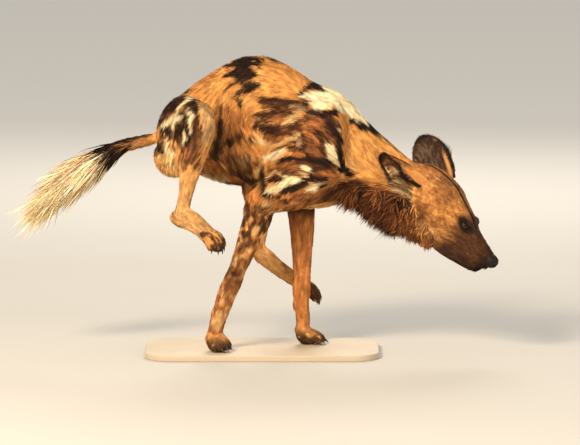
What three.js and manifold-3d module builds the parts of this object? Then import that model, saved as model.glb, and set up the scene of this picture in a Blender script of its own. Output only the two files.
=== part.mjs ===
// An African wild dog marking scent on its two forefeet, life size, on a flat display base.
// Millimetres, +Z up, +X towards the nose, +Y towards the dog's left side.
// The origin is the centre of the base's underside.
import * as THREE from "three";
import { mergeVertices } from "three/addons/utils/BufferGeometryUtils.js";
import Module from "manifold-3d";

const wasm = await Module();
wasm.setup();

// Driving dimensions
const GAP = 0.3; // clearance kept between neighbouring pieces
const BASE = { length: 560, width: 300, thick: 15, corner: 70 };
const SOLE = BASE.thick + GAP; // level that the forefeet stand on
const HEAD = { x: 400, y: -9, z: 375, pitch: 42.3, yaw: 18, roll: 20, neckCut: -42 };
const EYE = { u: 116, v: 26, w: 26, radius: 11, lid: 2, open: [21, 11] };
const EYE_WAYS = { out: [0.3, 0.94, 0.1], long: [0.88, -0.3, -0.3] };
const EAR = { length: 134, width: 98, cup: 18, thick: 5, sunk: 8 };
const EAR_BASE = [-18, 50, 32];
const EAR_ALONG = { left: [-0.9, 0.38, 0.22], right: [-0.89, 0.44, 0.07] }; // the right ear is laid further back
const NOSE = { u: 217, w: -9, length: 30, half: 17, height: 14 };
const NECK_CUT = { x: 207, z: 490, lean: 24 }; // plane between torso and neck, leaning forward at its foot
const PAW = { fore: 52, hind: 46, width: 54, toes: 4 };
const RUFF = { rows: 5, perRow: 7, length: 42, width: 22, thick: 6, sink: 8, from: 11.1, to: 13.9, spread: 2.9 };
const CHEEK = { rows: 4, perRow: 6, length: 31, width: 24, thick: 6, sink: 8, from: 0.7, to: 3.1, spread: 2.9 };
const BRUSH = { rows: 5, perRow: 5, length: 102, width: 31, thick: 8, sink: 4, from: 3.2, to: 7.6, foot: 3 };
const HAIR_LIE = [-0.62, 0, -0.78]; // way that the hair of ruff and cheeks points
const CLAW = { length: 10, radius: 3.2 };

const degrees = Math.PI / 180;
const V = (x, y, z) => new THREE.Vector3(x, y, z);
const UP = V(0, 0, 1);
const LEFT = V(0, 1, 0);

// A repeatable draw between -1 and 1.
let seed = 7;
function draw() {
  seed = (seed * 16807) % 2147483647;
  return (seed / 2147483647) * 2 - 1;
}

// Solids

// A closed three.js geometry as a manifold solid, turned outwards if it faces in.
function solid(geometry) {
  const bare = geometry.clone();
  bare.deleteAttribute("normal");
  bare.deleteAttribute("uv");
  const merged = mergeVertices(bare, 1e-4);
  const build = (triVerts) =>
    new wasm.Manifold(
      new wasm.Mesh({ numProp: 3, vertProperties: merged.attributes.position.array, triVerts }),
    );
  const index = new Uint32Array(merged.index.array);
  const made = build(index);
  return made.volume() > 0 ? made : build(index.reverse());
}

// The largest closed surface of a solid.
function largest(body) {
  return body.decompose().reduce((a, b) => (a.volume() > b.volume() ? a : b));
}

const join = (solids) => solids.reduce((a, b) => a.add(b));

// The part of a solid on the side of a plane that its normal points to, moved off the plane by half a gap.
function keepSide(body, point, normal) {
  const n = normal.clone().normalize();
  return body.trimByPlane([n.x, n.y, n.z], point.dot(n) + GAP / 2);
}

// A value or a record of numbers on the smooth curve through a list of stations.
function between(list, s) {
  const i = Math.max(0, Math.min(Math.floor(s), list.length - 2));
  const t = s - i;
  const [a, b, c, d] = [i - 1, i, i + 1, i + 2].map(
    (k) => list[Math.max(0, Math.min(k, list.length - 1))],
  );
  const found = {};
  for (const k of Object.keys(b))
    found[k] =
      0.5 *
      (2 * b[k] +
        (c[k] - a[k]) * t +
        (2 * a[k] - 5 * b[k] + 4 * c[k] - d[k]) * t ** 2 +
        (3 * b[k] - a[k] - 3 * c[k] + d[k]) * t ** 3);
  return found;
}

// A body of rings swept through stations. ringPoint(stations, s, angle, grow) gives a point of its surface.
class Sweep {
  constructor(stations, ringPoint, sides, steps) {
    Object.assign(this, { stations, ringPoint, sides, steps });
  }

  point(s, angle, grow = 0) {
    return this.ringPoint(this.stations, s, angle, grow);
  }

  // The outward direction at a place on the surface.
  normal(s, angle) {
    const around = this.point(s, angle + 0.02).sub(this.point(s, angle - 0.02));
    const along = this.point(s + 0.02, angle).sub(this.point(s - 0.02, angle));
    const n = around.cross(along).normalize();
    const out = this.point(s, angle).sub(this.middle(s));
    return n.dot(out) < 0 ? n.negate() : n;
  }

  middle(s) {
    return this.point(s, 0).add(this.point(s, Math.PI)).multiplyScalar(0.5);
  }

  solid(grow = 0) {
    const { sides, steps } = this;
    const count = (this.stations.length - 1) * steps + 1;
    const places = [];
    for (let r = 0; r < count; r++)
      for (let k = 0; k < sides; k++)
        places.push(this.point(r / steps, (k / sides) * 2 * Math.PI, grow));
    const index = [];
    for (let r = 0; r < count - 1; r++)
      for (let k = 0; k < sides; k++) {
        const [a, b] = [r * sides + k, r * sides + ((k + 1) % sides)];
        index.push(a, b, b + sides, a, b + sides, a + sides);
      }
    // Each end closes on the middle of its ring.
    for (const r of [0, count - 1]) {
      const ring = places.slice(r * sides, (r + 1) * sides);
      const middle = ring.reduce((sum, p) => sum.add(p), V(0, 0, 0)).divideScalar(sides);
      const m = places.push(middle) - 1;
      for (let k = 0; k < sides; k++) {
        const [a, b] = [r * sides + k, r * sides + ((k + 1) % sides)];
        index.push(...(r ? [a, b, m] : [b, a, m]));
      }
    }
    const geometry = new THREE.BufferGeometry().setFromPoints(places);
    return solid(geometry.setIndex(index));
  }
}

// A slice through trunk, neck or head, from its top point to its bottom point in the side view. half is half its
// width, egg makes it wider above its middle, square fills its corners, and shift and roll move and turn it sideways.
const slice = (topX, topZ, bottomX, bottomZ, half, { egg = 0, square = 0, shift = 0, roll = 0 } = {}) => ({
  topX, topZ, bottomX, bottomZ, half, egg, square, shift, roll,
});

function slicePoint(stations, s, angle, grow) {
  const r = between(stations, s);
  const up = V(r.topX - r.bottomX, 0, r.topZ - r.bottomZ).multiplyScalar(0.5);
  const high = up.length();
  up.divideScalar(high);
  const side = LEFT.clone().applyAxisAngle(up.clone().cross(LEFT), -r.roll * degrees);
  up.applyAxisAngle(up.clone().cross(LEFT), -r.roll * degrees);
  const corner = (c) => Math.sign(c) * Math.abs(c) ** (1 - 0.4 * r.square);
  const wide = (r.half + grow) * (1 + r.egg * Math.sin(angle));
  return V((r.topX + r.bottomX) / 2, r.shift, (r.topZ + r.bottomZ) / 2)
    .addScaledVector(up, (high + grow) * corner(Math.sin(angle)))
    .addScaledVector(side, wide * corner(Math.cos(angle)));
}

// A ring of a limb: its middle, half its width across the limb, and how far it reaches to the front and back.
const ring = (x, y, z, across, fore, aft = fore) => ({ x, y, z, across, fore, aft });

// hinge is the direction that the limb's joints turn about.
const limbPoint = (hinge) => (stations, s, angle, grow) => {
  const r = between(stations, s);
  const [a, b] = [between(stations, s - 0.05), between(stations, s + 0.05)];
  const along = V(b.x - a.x, b.y - a.y, b.z - a.z).normalize();
  const front = along.clone().cross(hinge).normalize();
  const side = front.clone().cross(along).normalize();
  const reach = Math.sin(angle) > 0 ? r.fore : r.aft;
  return V(r.x, r.y, r.z)
    .addScaledVector(front, (reach + grow) * Math.sin(angle))
    .addScaledVector(side, (r.across + grow) * Math.cos(angle));
};

const limb = (stations, hinge = LEFT, sides = 14, steps = 2) =>
  new Sweep(stations, limbPoint(hinge), sides, steps);

// A flat, tapered lock that leaves root along out and bends to lie along lie.
function lock(root, out, lie, length, width, thick, rings = 5) {
  const tip = root.clone().addScaledVector(out, length * 0.22).addScaledVector(lie, length * 0.93);
  const bend = root.clone().addScaledVector(out, length * 0.3).addScaledVector(lie, length * 0.35);
  const curve = new THREE.QuadraticBezierCurve3(root, bend, tip);
  const places = [];
  for (let i = 0; i < rings; i++) {
    const t = i / rings;
    const p = curve.getPoint(t);
    const along = curve.getTangent(t);
    const side = along.clone().cross(out).normalize();
    const up = side.clone().cross(along).normalize();
    const share = Math.min(1, 0.7 + 1.2 * t) * Math.sqrt(1 - t);
    places.push(
      p.clone().addScaledVector(side, (width / 2) * share),
      p.clone().addScaledVector(up, (thick / 2) * share),
      p.clone().addScaledVector(side, (-width / 2) * share),
      p.clone().addScaledVector(up, (-thick / 2) * share),
    );
  }
  const end = places.push(curve.getPoint(1)) - 1;
  const index = [0, 1, 2, 0, 2, 3];
  for (let i = 0; i < rings; i++)
    for (let k = 0; k < 4; k++) {
      const [a, b] = [i * 4 + k, i * 4 + ((k + 1) % 4)];
      if (i < rings - 1) index.push(a, a + 4, b + 4, a, b + 4, b);
      else index.push(a, end, b);
    }
  return solid(new THREE.BufferGeometry().setFromPoints(places).setIndex(index));
}

// Torso and neck, from the root of the tail to the back of the skull.
const trunk = new Sweep(
  [
    slice(-250, 540, -244, 510, 18),
    slice(-238, 568, -222, 484, 44),
    slice(-211, 608, -178, 474, 58),
    slice(-164, 650, -124, 470, 65),
    slice(-110, 686, -84, 438, 70, { egg: 0.05 }),
    slice(-50, 715, -52, 420, 77, { egg: 0.05 }),
    slice(12, 717, -12, 388, 84, { egg: 0.1 }),
    slice(70, 692, 35, 360, 87, { egg: 0.12 }),
    slice(126, 656, 92, 347, 84, { egg: 0.1 }),
    slice(172, 641, 152, 350, 76),
    slice(214, 611, 204, 364, 67),
    slice(260, 558, 242, 375, 60),
    slice(304, 517, 276, 342, 54, { shift: -3, roll: 5 }),
    slice(346, 481, 314, 316, 52, { shift: -6, roll: 10 }),
    slice(388, 455, 352, 298, 52, { shift: -8, roll: 15 }),
    slice(418, 428, 390, 310, 44, { shift: -10, roll: 20 }),
  ],
  slicePoint,
  24,
  2,
);

// Head, in its own frame: u forward from the back of the skull, v to the left, w up.
const skull = new Sweep(
  [
    slice(-86, 40, -66, -50, 30),
    slice(-54, 65, -32, -80, 53, { egg: 0.12 }),
    slice(-8, 76, 16, -87, 69, { egg: 0.15 }),
    slice(36, 73, 54, -84, 69, { egg: 0.15 }),
    slice(74, 60, 88, -79, 57, { egg: 0.14, square: 0.1 }),
    slice(103, 49, 112, -72, 44, { egg: 0.16, square: 0.3 }),
    slice(124, 39, 131, -52, 35, { egg: 0.1, square: 0.6 }),
    slice(143, 28, 149, -44, 31, { square: 0.8 }),
    slice(170, 20, 170, -42, 28, { square: 0.8 }),
    slice(197, 13, 194, -40, 25, { square: 0.7 }),
    slice(213, 8, 211, -36, 20, { square: 0.5 }),
    slice(221, 2, 220, -27, 12),
  ],
  slicePoint,
  18,
  2,
);
const jaw = new Sweep(
  [
    slice(32, -36, 44, -76, 38),
    slice(76, -24, 88, -81, 45, { square: 0.3 }),
    slice(114, -16, 120, -80, 35, { square: 0.5 }),
    slice(152, -14, 155, -72, 27, { square: 0.6 }),
    slice(183, -14, 182, -65, 24, { square: 0.6 }),
    slice(202, -18, 199, -58, 18.5, { square: 0.4 }),
    slice(209, -32, 207, -51, 10),
  ],
  slicePoint,
  16,
  1,
);

// Places the head on the neck: turned towards the dog's right, rolled and pitched down.
const headPlace = new THREE.Matrix4()
  .makeTranslation(HEAD.x, HEAD.y, HEAD.z)
  .multiply(new THREE.Matrix4().makeRotationY(HEAD.pitch * degrees))
  .multiply(new THREE.Matrix4().makeRotationZ(-HEAD.yaw * degrees))
  .multiply(new THREE.Matrix4().makeRotationX(HEAD.roll * degrees));
const placed = (body) => body.transform(headPlace.toArray());

// side is 1 for the dog's left and -1 for its right.
function eyeball(side, grow = 0) {
  const ball = new THREE.SphereGeometry(EYE.radius + grow, 12, 8);
  return solid(ball.translate(EYE.u, side * EYE.v, EYE.w));
}

// The bone around an eye, from the brow to the cheek, with the eyelids as a shell over the eyeball.
function orbit(side) {
  const bone = new THREE.SphereGeometry(1, 12, 6).scale(27, 12, 18);
  bone.rotateZ(side * -12 * degrees).translate(EYE.u - 5, side * (EYE.v - 3), EYE.w - 1);
  return solid(bone).add(eyeball(side, EYE.lid));
}

// The almond between the eyelids, cut outwards from the eyeball's middle. Its inner corner points to the nose.
function slit(side) {
  const [wide, high] = EYE.open;
  const almond = new THREE.Shape();
  almond.moveTo(-wide / 2, 0).quadraticCurveTo(0, high, wide / 2, 0).quadraticCurveTo(0, -high, -wide / 2, 0);
  const prism = new THREE.ExtrudeGeometry(almond, { depth: 30, bevelEnabled: false, curveSegments: 4 });
  const [out, towardsNose] = [EYE_WAYS.out, EYE_WAYS.long].map(([u, v, w]) => V(u, side * v, w).normalize());
  const above = out.clone().cross(towardsNose).normalize();
  const place = new THREE.Matrix4().makeBasis(above.clone().cross(out), above, out);
  return solid(prism.applyMatrix4(place.setPosition(EYE.u, side * EYE.v, EYE.w)));
}

// A dished ear: a cupped leaf with a round tip, thick as the real one, wide low down and rolled in at its root.
function earLeaf(side) {
  const [backwards, outwards, upwards] = side > 0 ? EAR_ALONG.left : EAR_ALONG.right;
  const along = V(backwards, side * outwards, upwards).normalize();
  const upper = V(0.33, 0.24, 0.9); // both ears stand turned with the roll of the head
  const across = upper.addScaledVector(along, -upper.dot(along)).normalize();
  const face = along.clone().cross(across).multiplyScalar(side);
  const [rows, columns] = [7, 6];
  const sheet = (lift) => {
    const places = [];
    for (let i = 0; i <= rows; i++) {
      const s = 1 - (1 - i / rows) ** 1.7;
      const half = (EAR.width / 2) * (0.74 + 0.66 * s - 0.54 * s * s) * Math.sqrt(1.003 - s ** 3.4);
      const cup = EAR.cup * (1.3 - s);
      for (let k = 0; k <= columns; k++) {
        const t = (k / columns) * 2 - 1;
        places.push(
          V(EAR_BASE[0], side * EAR_BASE[1], EAR_BASE[2])
            .addScaledVector(along, EAR.length * s - EAR.sunk)
            .addScaledVector(across, half * t)
            .addScaledVector(face, cup * (t * t - 0.6) + lift),
        );
      }
    }
    return places;
  };
  const thin = EAR.thick / 2;
  const places = [...sheet(thin), ...sheet(-thin)];
  const wide = columns + 1;
  const under = (rows + 1) * wide;
  const index = [];
  for (let i = 0; i < rows; i++)
    for (let k = 0; k < columns; k++) {
      const a = i * wide + k;
      index.push(a, a + 1, a + wide + 1, a, a + wide + 1, a + wide);
      index.push(a + under, a + wide + 1 + under, a + 1 + under);
      index.push(a + under, a + wide + under, a + wide + 1 + under);
    }
  const rim = [];
  for (let k = 0; k < columns; k++) rim.push(k);
  for (let i = 0; i < rows; i++) rim.push(i * wide + columns);
  for (let k = columns; k > 0; k--) rim.push(rows * wide + k);
  for (let i = rows; i > 0; i--) rim.push(i * wide);
  rim.forEach((a, i) => {
    const b = rim[(i + 1) % rim.length];
    index.push(b, a, a + under, b, a + under, b + under);
  });
  return solid(new THREE.BufferGeometry().setFromPoints(places).setIndex(index));
}

// The nose pad, a rounded block with its nostrils opened.
function nosePad() {
  const pad = new THREE.SphereGeometry(1, 12, 8).scale(NOSE.length / 2, NOSE.half, NOSE.height);
  const block = solid(pad.translate(NOSE.u, 0, NOSE.w));
  const nostril = (side) =>
    limb(
      [
        ring(NOSE.u + 16, side * 6.5, NOSE.w + 1, 4.2, 3.6),
        ring(NOSE.u + 9, side * 8, NOSE.w + 1, 3.6, 3.2),
        ring(NOSE.u + 3, side * 11, NOSE.w - 1, 2.2, 2),
      ],
      UP, 5, 1,
    ).solid();
  return block.subtract(nostril(1)).subtract(nostril(-1));
}

// The line of the mouth, a narrow groove from under the nose back to the corner of the lips.
function mouthLine(side) {
  const places = [[216, 5, -30], [204, 20, -37], [182, 28, -41], [150, 32, -44], [118, 38, -48], [96, 47, -46]];
  return limb(
    places.map(([u, v, w]) => ring(u, side * v, w, 4, 1)),
    UP.clone().applyAxisAngle(V(1, 0, 0), (Math.PI / 2) * side), 4, 1,
  ).solid();
}

// Rows of locks round the underside of a body, from one station to another. They point back and down.
function lockRows(body, fur, place = (p) => p) {
  const { rows, perRow, length, width, thick, sink, from, to, spread } = fur;
  const locks = [];
  for (let i = 0; i < rows; i++)
    for (let k = 0; k < perRow; k++) {
      const s = from + ((to - from) * (i + 0.2 * draw())) / (rows - 1);
      const share = (k + 0.5 * (i % 2) + 0.2 * draw()) / (perRow - 0.5) - 0.5;
      const angle = -Math.PI / 2 + share * spread;
      const root = place(body.point(s, angle, -sink));
      const out = place(body.point(s, angle)).sub(root).normalize();
      const lie = V(...HAIR_LIE);
      lie.addScaledVector(out, 0.1 - 0.75 * lie.dot(out)).normalize();
      const size = (1 + 0.15 * draw()) * (1 + 0.5 * Math.abs(out.y));
      locks.push(lock(root, out, lie, length * size, width, thick, 3));
    }
  return join(locks);
}

const headSolid = placed(
  join([skull.solid(), jaw.solid(), orbit(1), orbit(-1)])
    .subtract(mouthLine(1)).subtract(mouthLine(-1)).subtract(slit(1)).subtract(slit(-1)),
);
const eyeSpace = placed(eyeball(1, GAP).add(eyeball(-1, GAP)));

// Trunk and head are joined, then parted at the neck's two ends.
const onHead = (p) => p.applyMatrix4(headPlace);
const headAxis = V(1, 0, 0).transformDirection(headPlace);
const headFoot = onHead(V(HEAD.neckCut, 0, 0));
const neckAxis = V(Math.cos(NECK_CUT.lean * degrees), 0, -Math.sin(NECK_CUT.lean * degrees));
const neckFoot = V(NECK_CUT.x, 0, NECK_CUT.z);
const flesh = trunk.solid().add(headSolid).subtract(eyeSpace);
const ruff = lockRows(trunk, RUFF);
const cheek = lockRows(skull, CHEEK, onHead);

const torso = keepSide(flesh, neckFoot, neckAxis.clone().negate());
const neck = keepSide(keepSide(flesh.add(ruff), neckFoot, neckAxis), headFoot, headAxis.clone().negate());
const head = keepSide(flesh.add(cheek), headFoot, headAxis);

// Legs. Each list of rings runs from the body to the foot.
const foreLegs = {
  right: {
    upper: [
      ring(178, -40, 622, 8, 12), ring(172, -56, 596, 19, 30), ring(162, -67, 556, 27, 47), ring(148, -74, 500, 31, 60),
      ring(132, -78, 448, 33, 64), ring(84, -82, 410, 33, 55), ring(26, -80, 390, 30, 46, 52),
      ring(-4, -76, 366, 27, 38, 42), ring(-13, -73, 332, 25, 35, 35),
    ],
    lower: [
      ring(2, -75, 386, 24, 38, 42), ring(-11, -74, 336, 25, 37, 36), ring(-24, -73, 306, 24, 32, 31),
      ring(-34, -72, 276, 22, 29, 29), ring(-46, -71, 244, 21, 27, 26), ring(-59, -70, 212, 20, 24, 23),
      ring(-71, -69, 182, 21, 26, 25), ring(-84, -67, 152, 21, 25, 25), ring(-95, -65, 118, 20, 23, 23),
      ring(-105, -63, 88, 19, 21, 22), ring(-111, -62, 62, 19, 19, 20), ring(-115, -62, 44, 18, 16, 17),
    ],
    elbow: 345,
    paw: { x: -114, y: -62, heading: -62 },
  },
  left: {
    upper: [
      ring(178, 40, 622, 8, 12), ring(174, 56, 596, 19, 30), ring(168, 67, 556, 27, 47), ring(156, 74, 500, 31, 60),
      ring(150, 77, 448, 33, 62), ring(126, 77, 404, 33, 52), ring(100, 71, 372, 30, 42, 46),
      ring(94, 65, 340, 27, 36, 35), ring(95, 60, 322, 26, 33, 34),
    ],
    lower: [
      ring(92, 67, 366, 26, 39, 41), ring(95, 61, 326, 25, 34, 35), ring(96, 56, 290, 24, 32, 32),
      ring(96, 52, 256, 22, 29, 29), ring(96, 49, 220, 20, 26, 26), ring(96, 46, 184, 20, 24, 24),
      ring(95, 44, 150, 21, 25, 25), ring(95, 43, 118, 19, 21, 21), ring(97, 42, 88, 19, 20, 20),
      ring(99, 42, 62, 19, 18, 19), ring(99, 42, 44, 18, 15, 16),
    ],
    elbow: 336,
    paw: { x: 100, y: 42, heading: 4 },
  },
};
const WRIST = 92; // level of the cut above each forepaw
const KNEE = 3.1; // station of the cut between thigh and shank
const HOCK = 7; // station of the cut between shank and foot

// Both hind legs are off the ground: the right one is raised to the side, the left one swings forward.
const hindLegs = {
  right: {
    hinge: V(0.87, 0.42, -0.18).normalize(),
    thigh: [
      ring(-228, -10, 540, 16, 30, 26), ring(-222, -34, 540, 34, 60, 48), ring(-204, -66, 546, 42, 76, 76),
      ring(-184, -108, 556, 43, 80, 86), ring(-162, -150, 570, 41, 68, 90), ring(-145, -184, 582, 35, 48, 78),
      ring(-138, -203, 580, 26, 32, 54), ring(-135, -214, 582, 13, 15, 30),
    ],
    haunch: [
      ring(-229, -40, 512, 24, 44, 26), ring(-223, -72, 492, 35, 66, 35), ring(-216, -104, 480, 39, 78, 39),
      ring(-203, -138, 478, 36, 80, 37), ring(-186, -168, 480, 26, 66, 30),
    ],
    shank: [
      ring(-144, -182, 612, 12, 14, 15), ring(-142, -190, 596, 25, 28, 32), ring(-142, -194, 566, 31, 40, 46),
      ring(-156, -193, 508, 32, 32, 54), ring(-170, -188, 452, 26, 22, 34), ring(-178, -184, 410, 20, 19, 22),
      ring(-186, -180, 376, 18, 19, 20), ring(-194, -176, 350, 18, 20, 22), ring(-196, -175, 338, 15, 15, 16),
    ],
    foot: [
      ring(-212, -160, 346, 12, 10, 10), ring(-200, -171, 347, 19, 24, 20), ring(-182, -185, 346, 22, 30, 24),
      ring(-162, -203, 338, 22, 31, 22), ring(-143, -221, 327, 21, 27, 21), ring(-124, -237, 313, 22, 23, 22),
    ],
  },
  left: {
    hinge: LEFT,
    thigh: [
      ring(-232, 16, 546, 14, 20, 22), ring(-214, 34, 538, 28, 44, 48), ring(-176, 48, 520, 36, 64, 66),
      ring(-130, 58, 494, 37, 64, 74), ring(-80, 68, 466, 34, 54, 68), ring(-36, 76, 444, 30, 40, 54),
      ring(-10, 80, 430, 24, 28, 40),
    ],
    haunch: [
      ring(-234, 22, 524, 20, 24), ring(-214, 38, 506, 30, 36), ring(-176, 52, 484, 32, 38),
      ring(-130, 60, 458, 28, 34), ring(-96, 66, 440, 18, 22),
    ],
    shank: [
      ring(-3, 82, 472, 12, 12, 14), ring(-4, 82, 458, 24, 24, 28), ring(-8, 83, 424, 29, 34, 40),
      ring(-6, 82, 384, 28, 30, 46), ring(0, 80, 336, 23, 24, 34), ring(-2, 78, 296, 18, 20, 24),
      ring(-8, 77, 264, 18, 19, 20), ring(-12, 76, 242, 18, 19, 20), ring(-14, 76, 232, 15, 15, 16),
    ],
    foot: [
      ring(-30, 74, 238, 12, 10, 10), ring(-16, 75, 238, 18, 20, 20), ring(2, 78, 226, 20, 24, 24),
      ring(32, 83, 200, 19, 22, 22), ring(68, 90, 173, 19, 20, 20), ring(106, 97, 147, 20, 19, 19),
    ],
  },
};

// How a paw's toes run: share of their length, height, half width and half height, from root to end.
const pawShapes = {
  standing: {
    reach: PAW.fore,
    toe: [[-0.2, 26, 9, 11], [0.35, 25, 12, 15], [0.8, 13.5, 11.5, 14.5], [1, 9.5, 6.5, 7]],
    pad: { x: 8, z: 12, size: [22, PAW.width * 0.42, 17] },
    stem: [ring(-9, 0, 46, 18, 15), ring(-5, 0, 26, 19, 18), ring(2, 0, 10, 17, 16)],
  },
  hanging: {
    reach: PAW.hind,
    toe: [[-0.2, 0, 10, 12], [0.35, 3, 12, 15.5], [0.82, -6, 11.5, 13], [1, -12, 6.5, 7.5]],
    pad: { x: 12, z: -9, size: [20, PAW.width * 0.38, 14] },
    stem: [ring(-22, 0, 0, 18, 17), ring(-8, 0, 1, 20, 18), ring(10, 0, 0, 20, 16)],
  },
};

// A paw of four arched toes and a pad, with its claws apart. In its own frame x runs to the toes and z up.
function pawPieces({ reach, toe, pad, stem }, place) {
  const pieces = [];
  const claws = [];
  const moved = (body) => body.transform(place.toArray());
  for (let i = 0; i < PAW.toes; i++) {
    const spread = i - (PAW.toes - 1) / 2;
    const long = reach * (Math.abs(spread) < 1 ? 1 : 0.82);
    const rings = toe.map(([t, high, across, tall]) =>
      ring(long * t, spread * PAW.width * (0.2 + 0.07 * t), high, across, tall),
    );
    pieces.push(limb(rings, LEFT, 6, 1).solid());
    const [before, end] = rings.slice(-2).map((r) => V(r.x, r.y, r.z));
    const along = end.clone().sub(before).normalize();
    const clawRing = (far, drop, share) => {
      const p = end.clone().addScaledVector(along, GAP + far * CLAW.length);
      return ring(p.x, p.y, p.z - drop, CLAW.radius * 0.8 * share, CLAW.radius * 1.2 * share);
    };
    claws.push(moved(limb([clawRing(0, 0, 1), clawRing(0.5, 0, 0.85), clawRing(1, 3, 0.2)], LEFT, 6, 1).solid()));
  }
  const ball = new THREE.SphereGeometry(1, 10, 6).scale(...pad.size).translate(pad.x, 0, pad.z);
  pieces.push(solid(ball), limb(stem, LEFT, 12, 1).solid());
  return { paw: moved(join(pieces)), claws };
}

// The frame at the end of a hanging foot: x along it, z towards its upper side.
function footFrame(stations, hinge) {
  const [a, b] = stations.slice(-2);
  const along = V(b.x - a.x, b.y - a.y, b.z - a.z).normalize();
  const upper = along.clone().cross(hinge).normalize();
  const side = upper.clone().cross(along).normalize();
  return new THREE.Matrix4().makeBasis(along, side, upper).setPosition(b.x, b.y, b.z);
}

// Tail: a short-haired dock, then a brush of long locks over a thin core.
const tail = limb(
  [
    ring(-226, 0, 530, 15, 17), ring(-252, 0, 521, 16, 17), ring(-288, -2, 512, 16, 17), ring(-330, -3, 501, 17, 18),
    ring(-372, -4, 478, 18, 20), ring(-414, -5, 454, 17, 20), ring(-454, -6, 426, 14, 16), ring(-488, -7, 398, 10, 11),
    ring(-512, -7, 376, 4, 4),
  ],
  LEFT, 12, 1,
);
function brushLocks() {
  const { from, to } = BRUSH;
  const locks = [];
  for (let i = 0; i < BRUSH.rows; i++)
    for (let k = 0; k < BRUSH.perRow; k++) {
      const s = from + ((to - from) * i) / (BRUSH.rows - 1);
      const angle = ((k + 0.5 * (i % 2)) / BRUSH.perRow) * 2 * Math.PI + 0.15 * draw();
      const along = tail.middle(s + 0.1).sub(tail.middle(s - 0.1)).normalize();
      const size = 1 + 0.1 * draw();
      const root = tail.point(s, angle, -BRUSH.sink);
      const out = tail.normal(s, angle);
      locks.push(lock(root, out, along, BRUSH.length * size, BRUSH.width * size, BRUSH.thick, 3));
    }
  return join(locks);
}

// The display base, a plate with round corners.
function baseGeometry() {
  const [x, y, r] = [BASE.length / 2, BASE.width / 2, BASE.corner];
  const outline = new THREE.Shape();
  outline.moveTo(-x + r, -y).lineTo(x - r, -y).absarc(x - r, -y + r, r, -Math.PI / 2, 0);
  outline.lineTo(x, y - r).absarc(x - r, y - r, r, 0, Math.PI / 2);
  outline.lineTo(-x + r, y).absarc(-x + r, y - r, r, Math.PI / 2, Math.PI);
  outline.lineTo(-x, -y + r).absarc(-x + r, -y + r, r, Math.PI, 1.5 * Math.PI);
  return new THREE.ExtrudeGeometry(outline, { depth: BASE.thick, bevelEnabled: false, curveSegments: 6 });
}

// Assembly
const finishes = {
  coat: { color: 0xb87333, roughness: 0.85 },
  dark: { color: 0x2a1c14, roughness: 0.8 },
  white: { color: 0xe9dcc2, roughness: 0.9 },
  nose: { color: 0x14100e, roughness: 0.4 },
  eye: { color: 0x2a1608, roughness: 0.1 },
  claw: { color: 0x1c1612, roughness: 0.5 },
  base: { color: 0xcdb892, roughness: 0.6 },
};
const dog = new THREE.Group();

// Adds the largest closed surface of a solid to the dog as a named mesh.
function add(name, body, finish) {
  const mesh = largest(body).getMesh();
  const geometry = new THREE.BufferGeometry();
  geometry.setAttribute("position", new THREE.BufferAttribute(new Float32Array(mesh.vertProperties), 3));
  geometry.setIndex(new THREE.BufferAttribute(mesh.triVerts, 1));
  geometry.computeVertexNormals();
  const node = new THREE.Mesh(geometry, new THREE.MeshStandardMaterial({ metalness: 0, ...finishes[finish] }));
  node.name = name;
  dog.add(node);
}

const trunkClear = trunk.solid(GAP);
const down = UP.clone().negate();

add("torso", torso, "coat");
add("neck", neck, "dark");
add("head", head, "coat");
const skullClear = placed(skull.solid(GAP));
add("nose_pad", placed(nosePad()).subtract(skullClear), "nose");
for (const [side, name] of [[1, "left"], [-1, "right"]]) {
  add(`eye_${name}`, placed(eyeball(side)), "eye");
  add(`ear_${name}`, placed(earLeaf(side)).subtract(skullClear).subtract(trunkClear), "dark");
}

for (const [name, { upper, lower, elbow, paw }] of Object.entries(foreLegs)) {
  const place = new THREE.Matrix4()
    .makeTranslation(paw.x, paw.y, SOLE)
    .multiply(new THREE.Matrix4().makeRotationZ(paw.heading * degrees));
  const made = pawPieces(pawShapes.standing, place);
  const column = join([limb(upper, LEFT, 14).solid(), limb(lower, LEFT, 12, 1).solid(), made.paw]);
  const leg = keepSide(column, V(0, 0, SOLE - GAP / 2), UP);
  const [elbowFoot, wristFoot] = [V(0, 0, elbow), V(0, 0, WRIST)];
  add(`upper_foreleg_${name}`, keepSide(leg, elbowFoot, UP).subtract(trunkClear), "coat");
  add(`lower_foreleg_${name}`, keepSide(keepSide(leg, elbowFoot, down), wristFoot, UP), "coat");
  add(`forepaw_${name}`, keepSide(leg, wristFoot, down), "dark");
  made.claws.forEach((claw, i) => add(`claw_forepaw_${name}_${i + 1}`, claw, "claw"));
}

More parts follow.
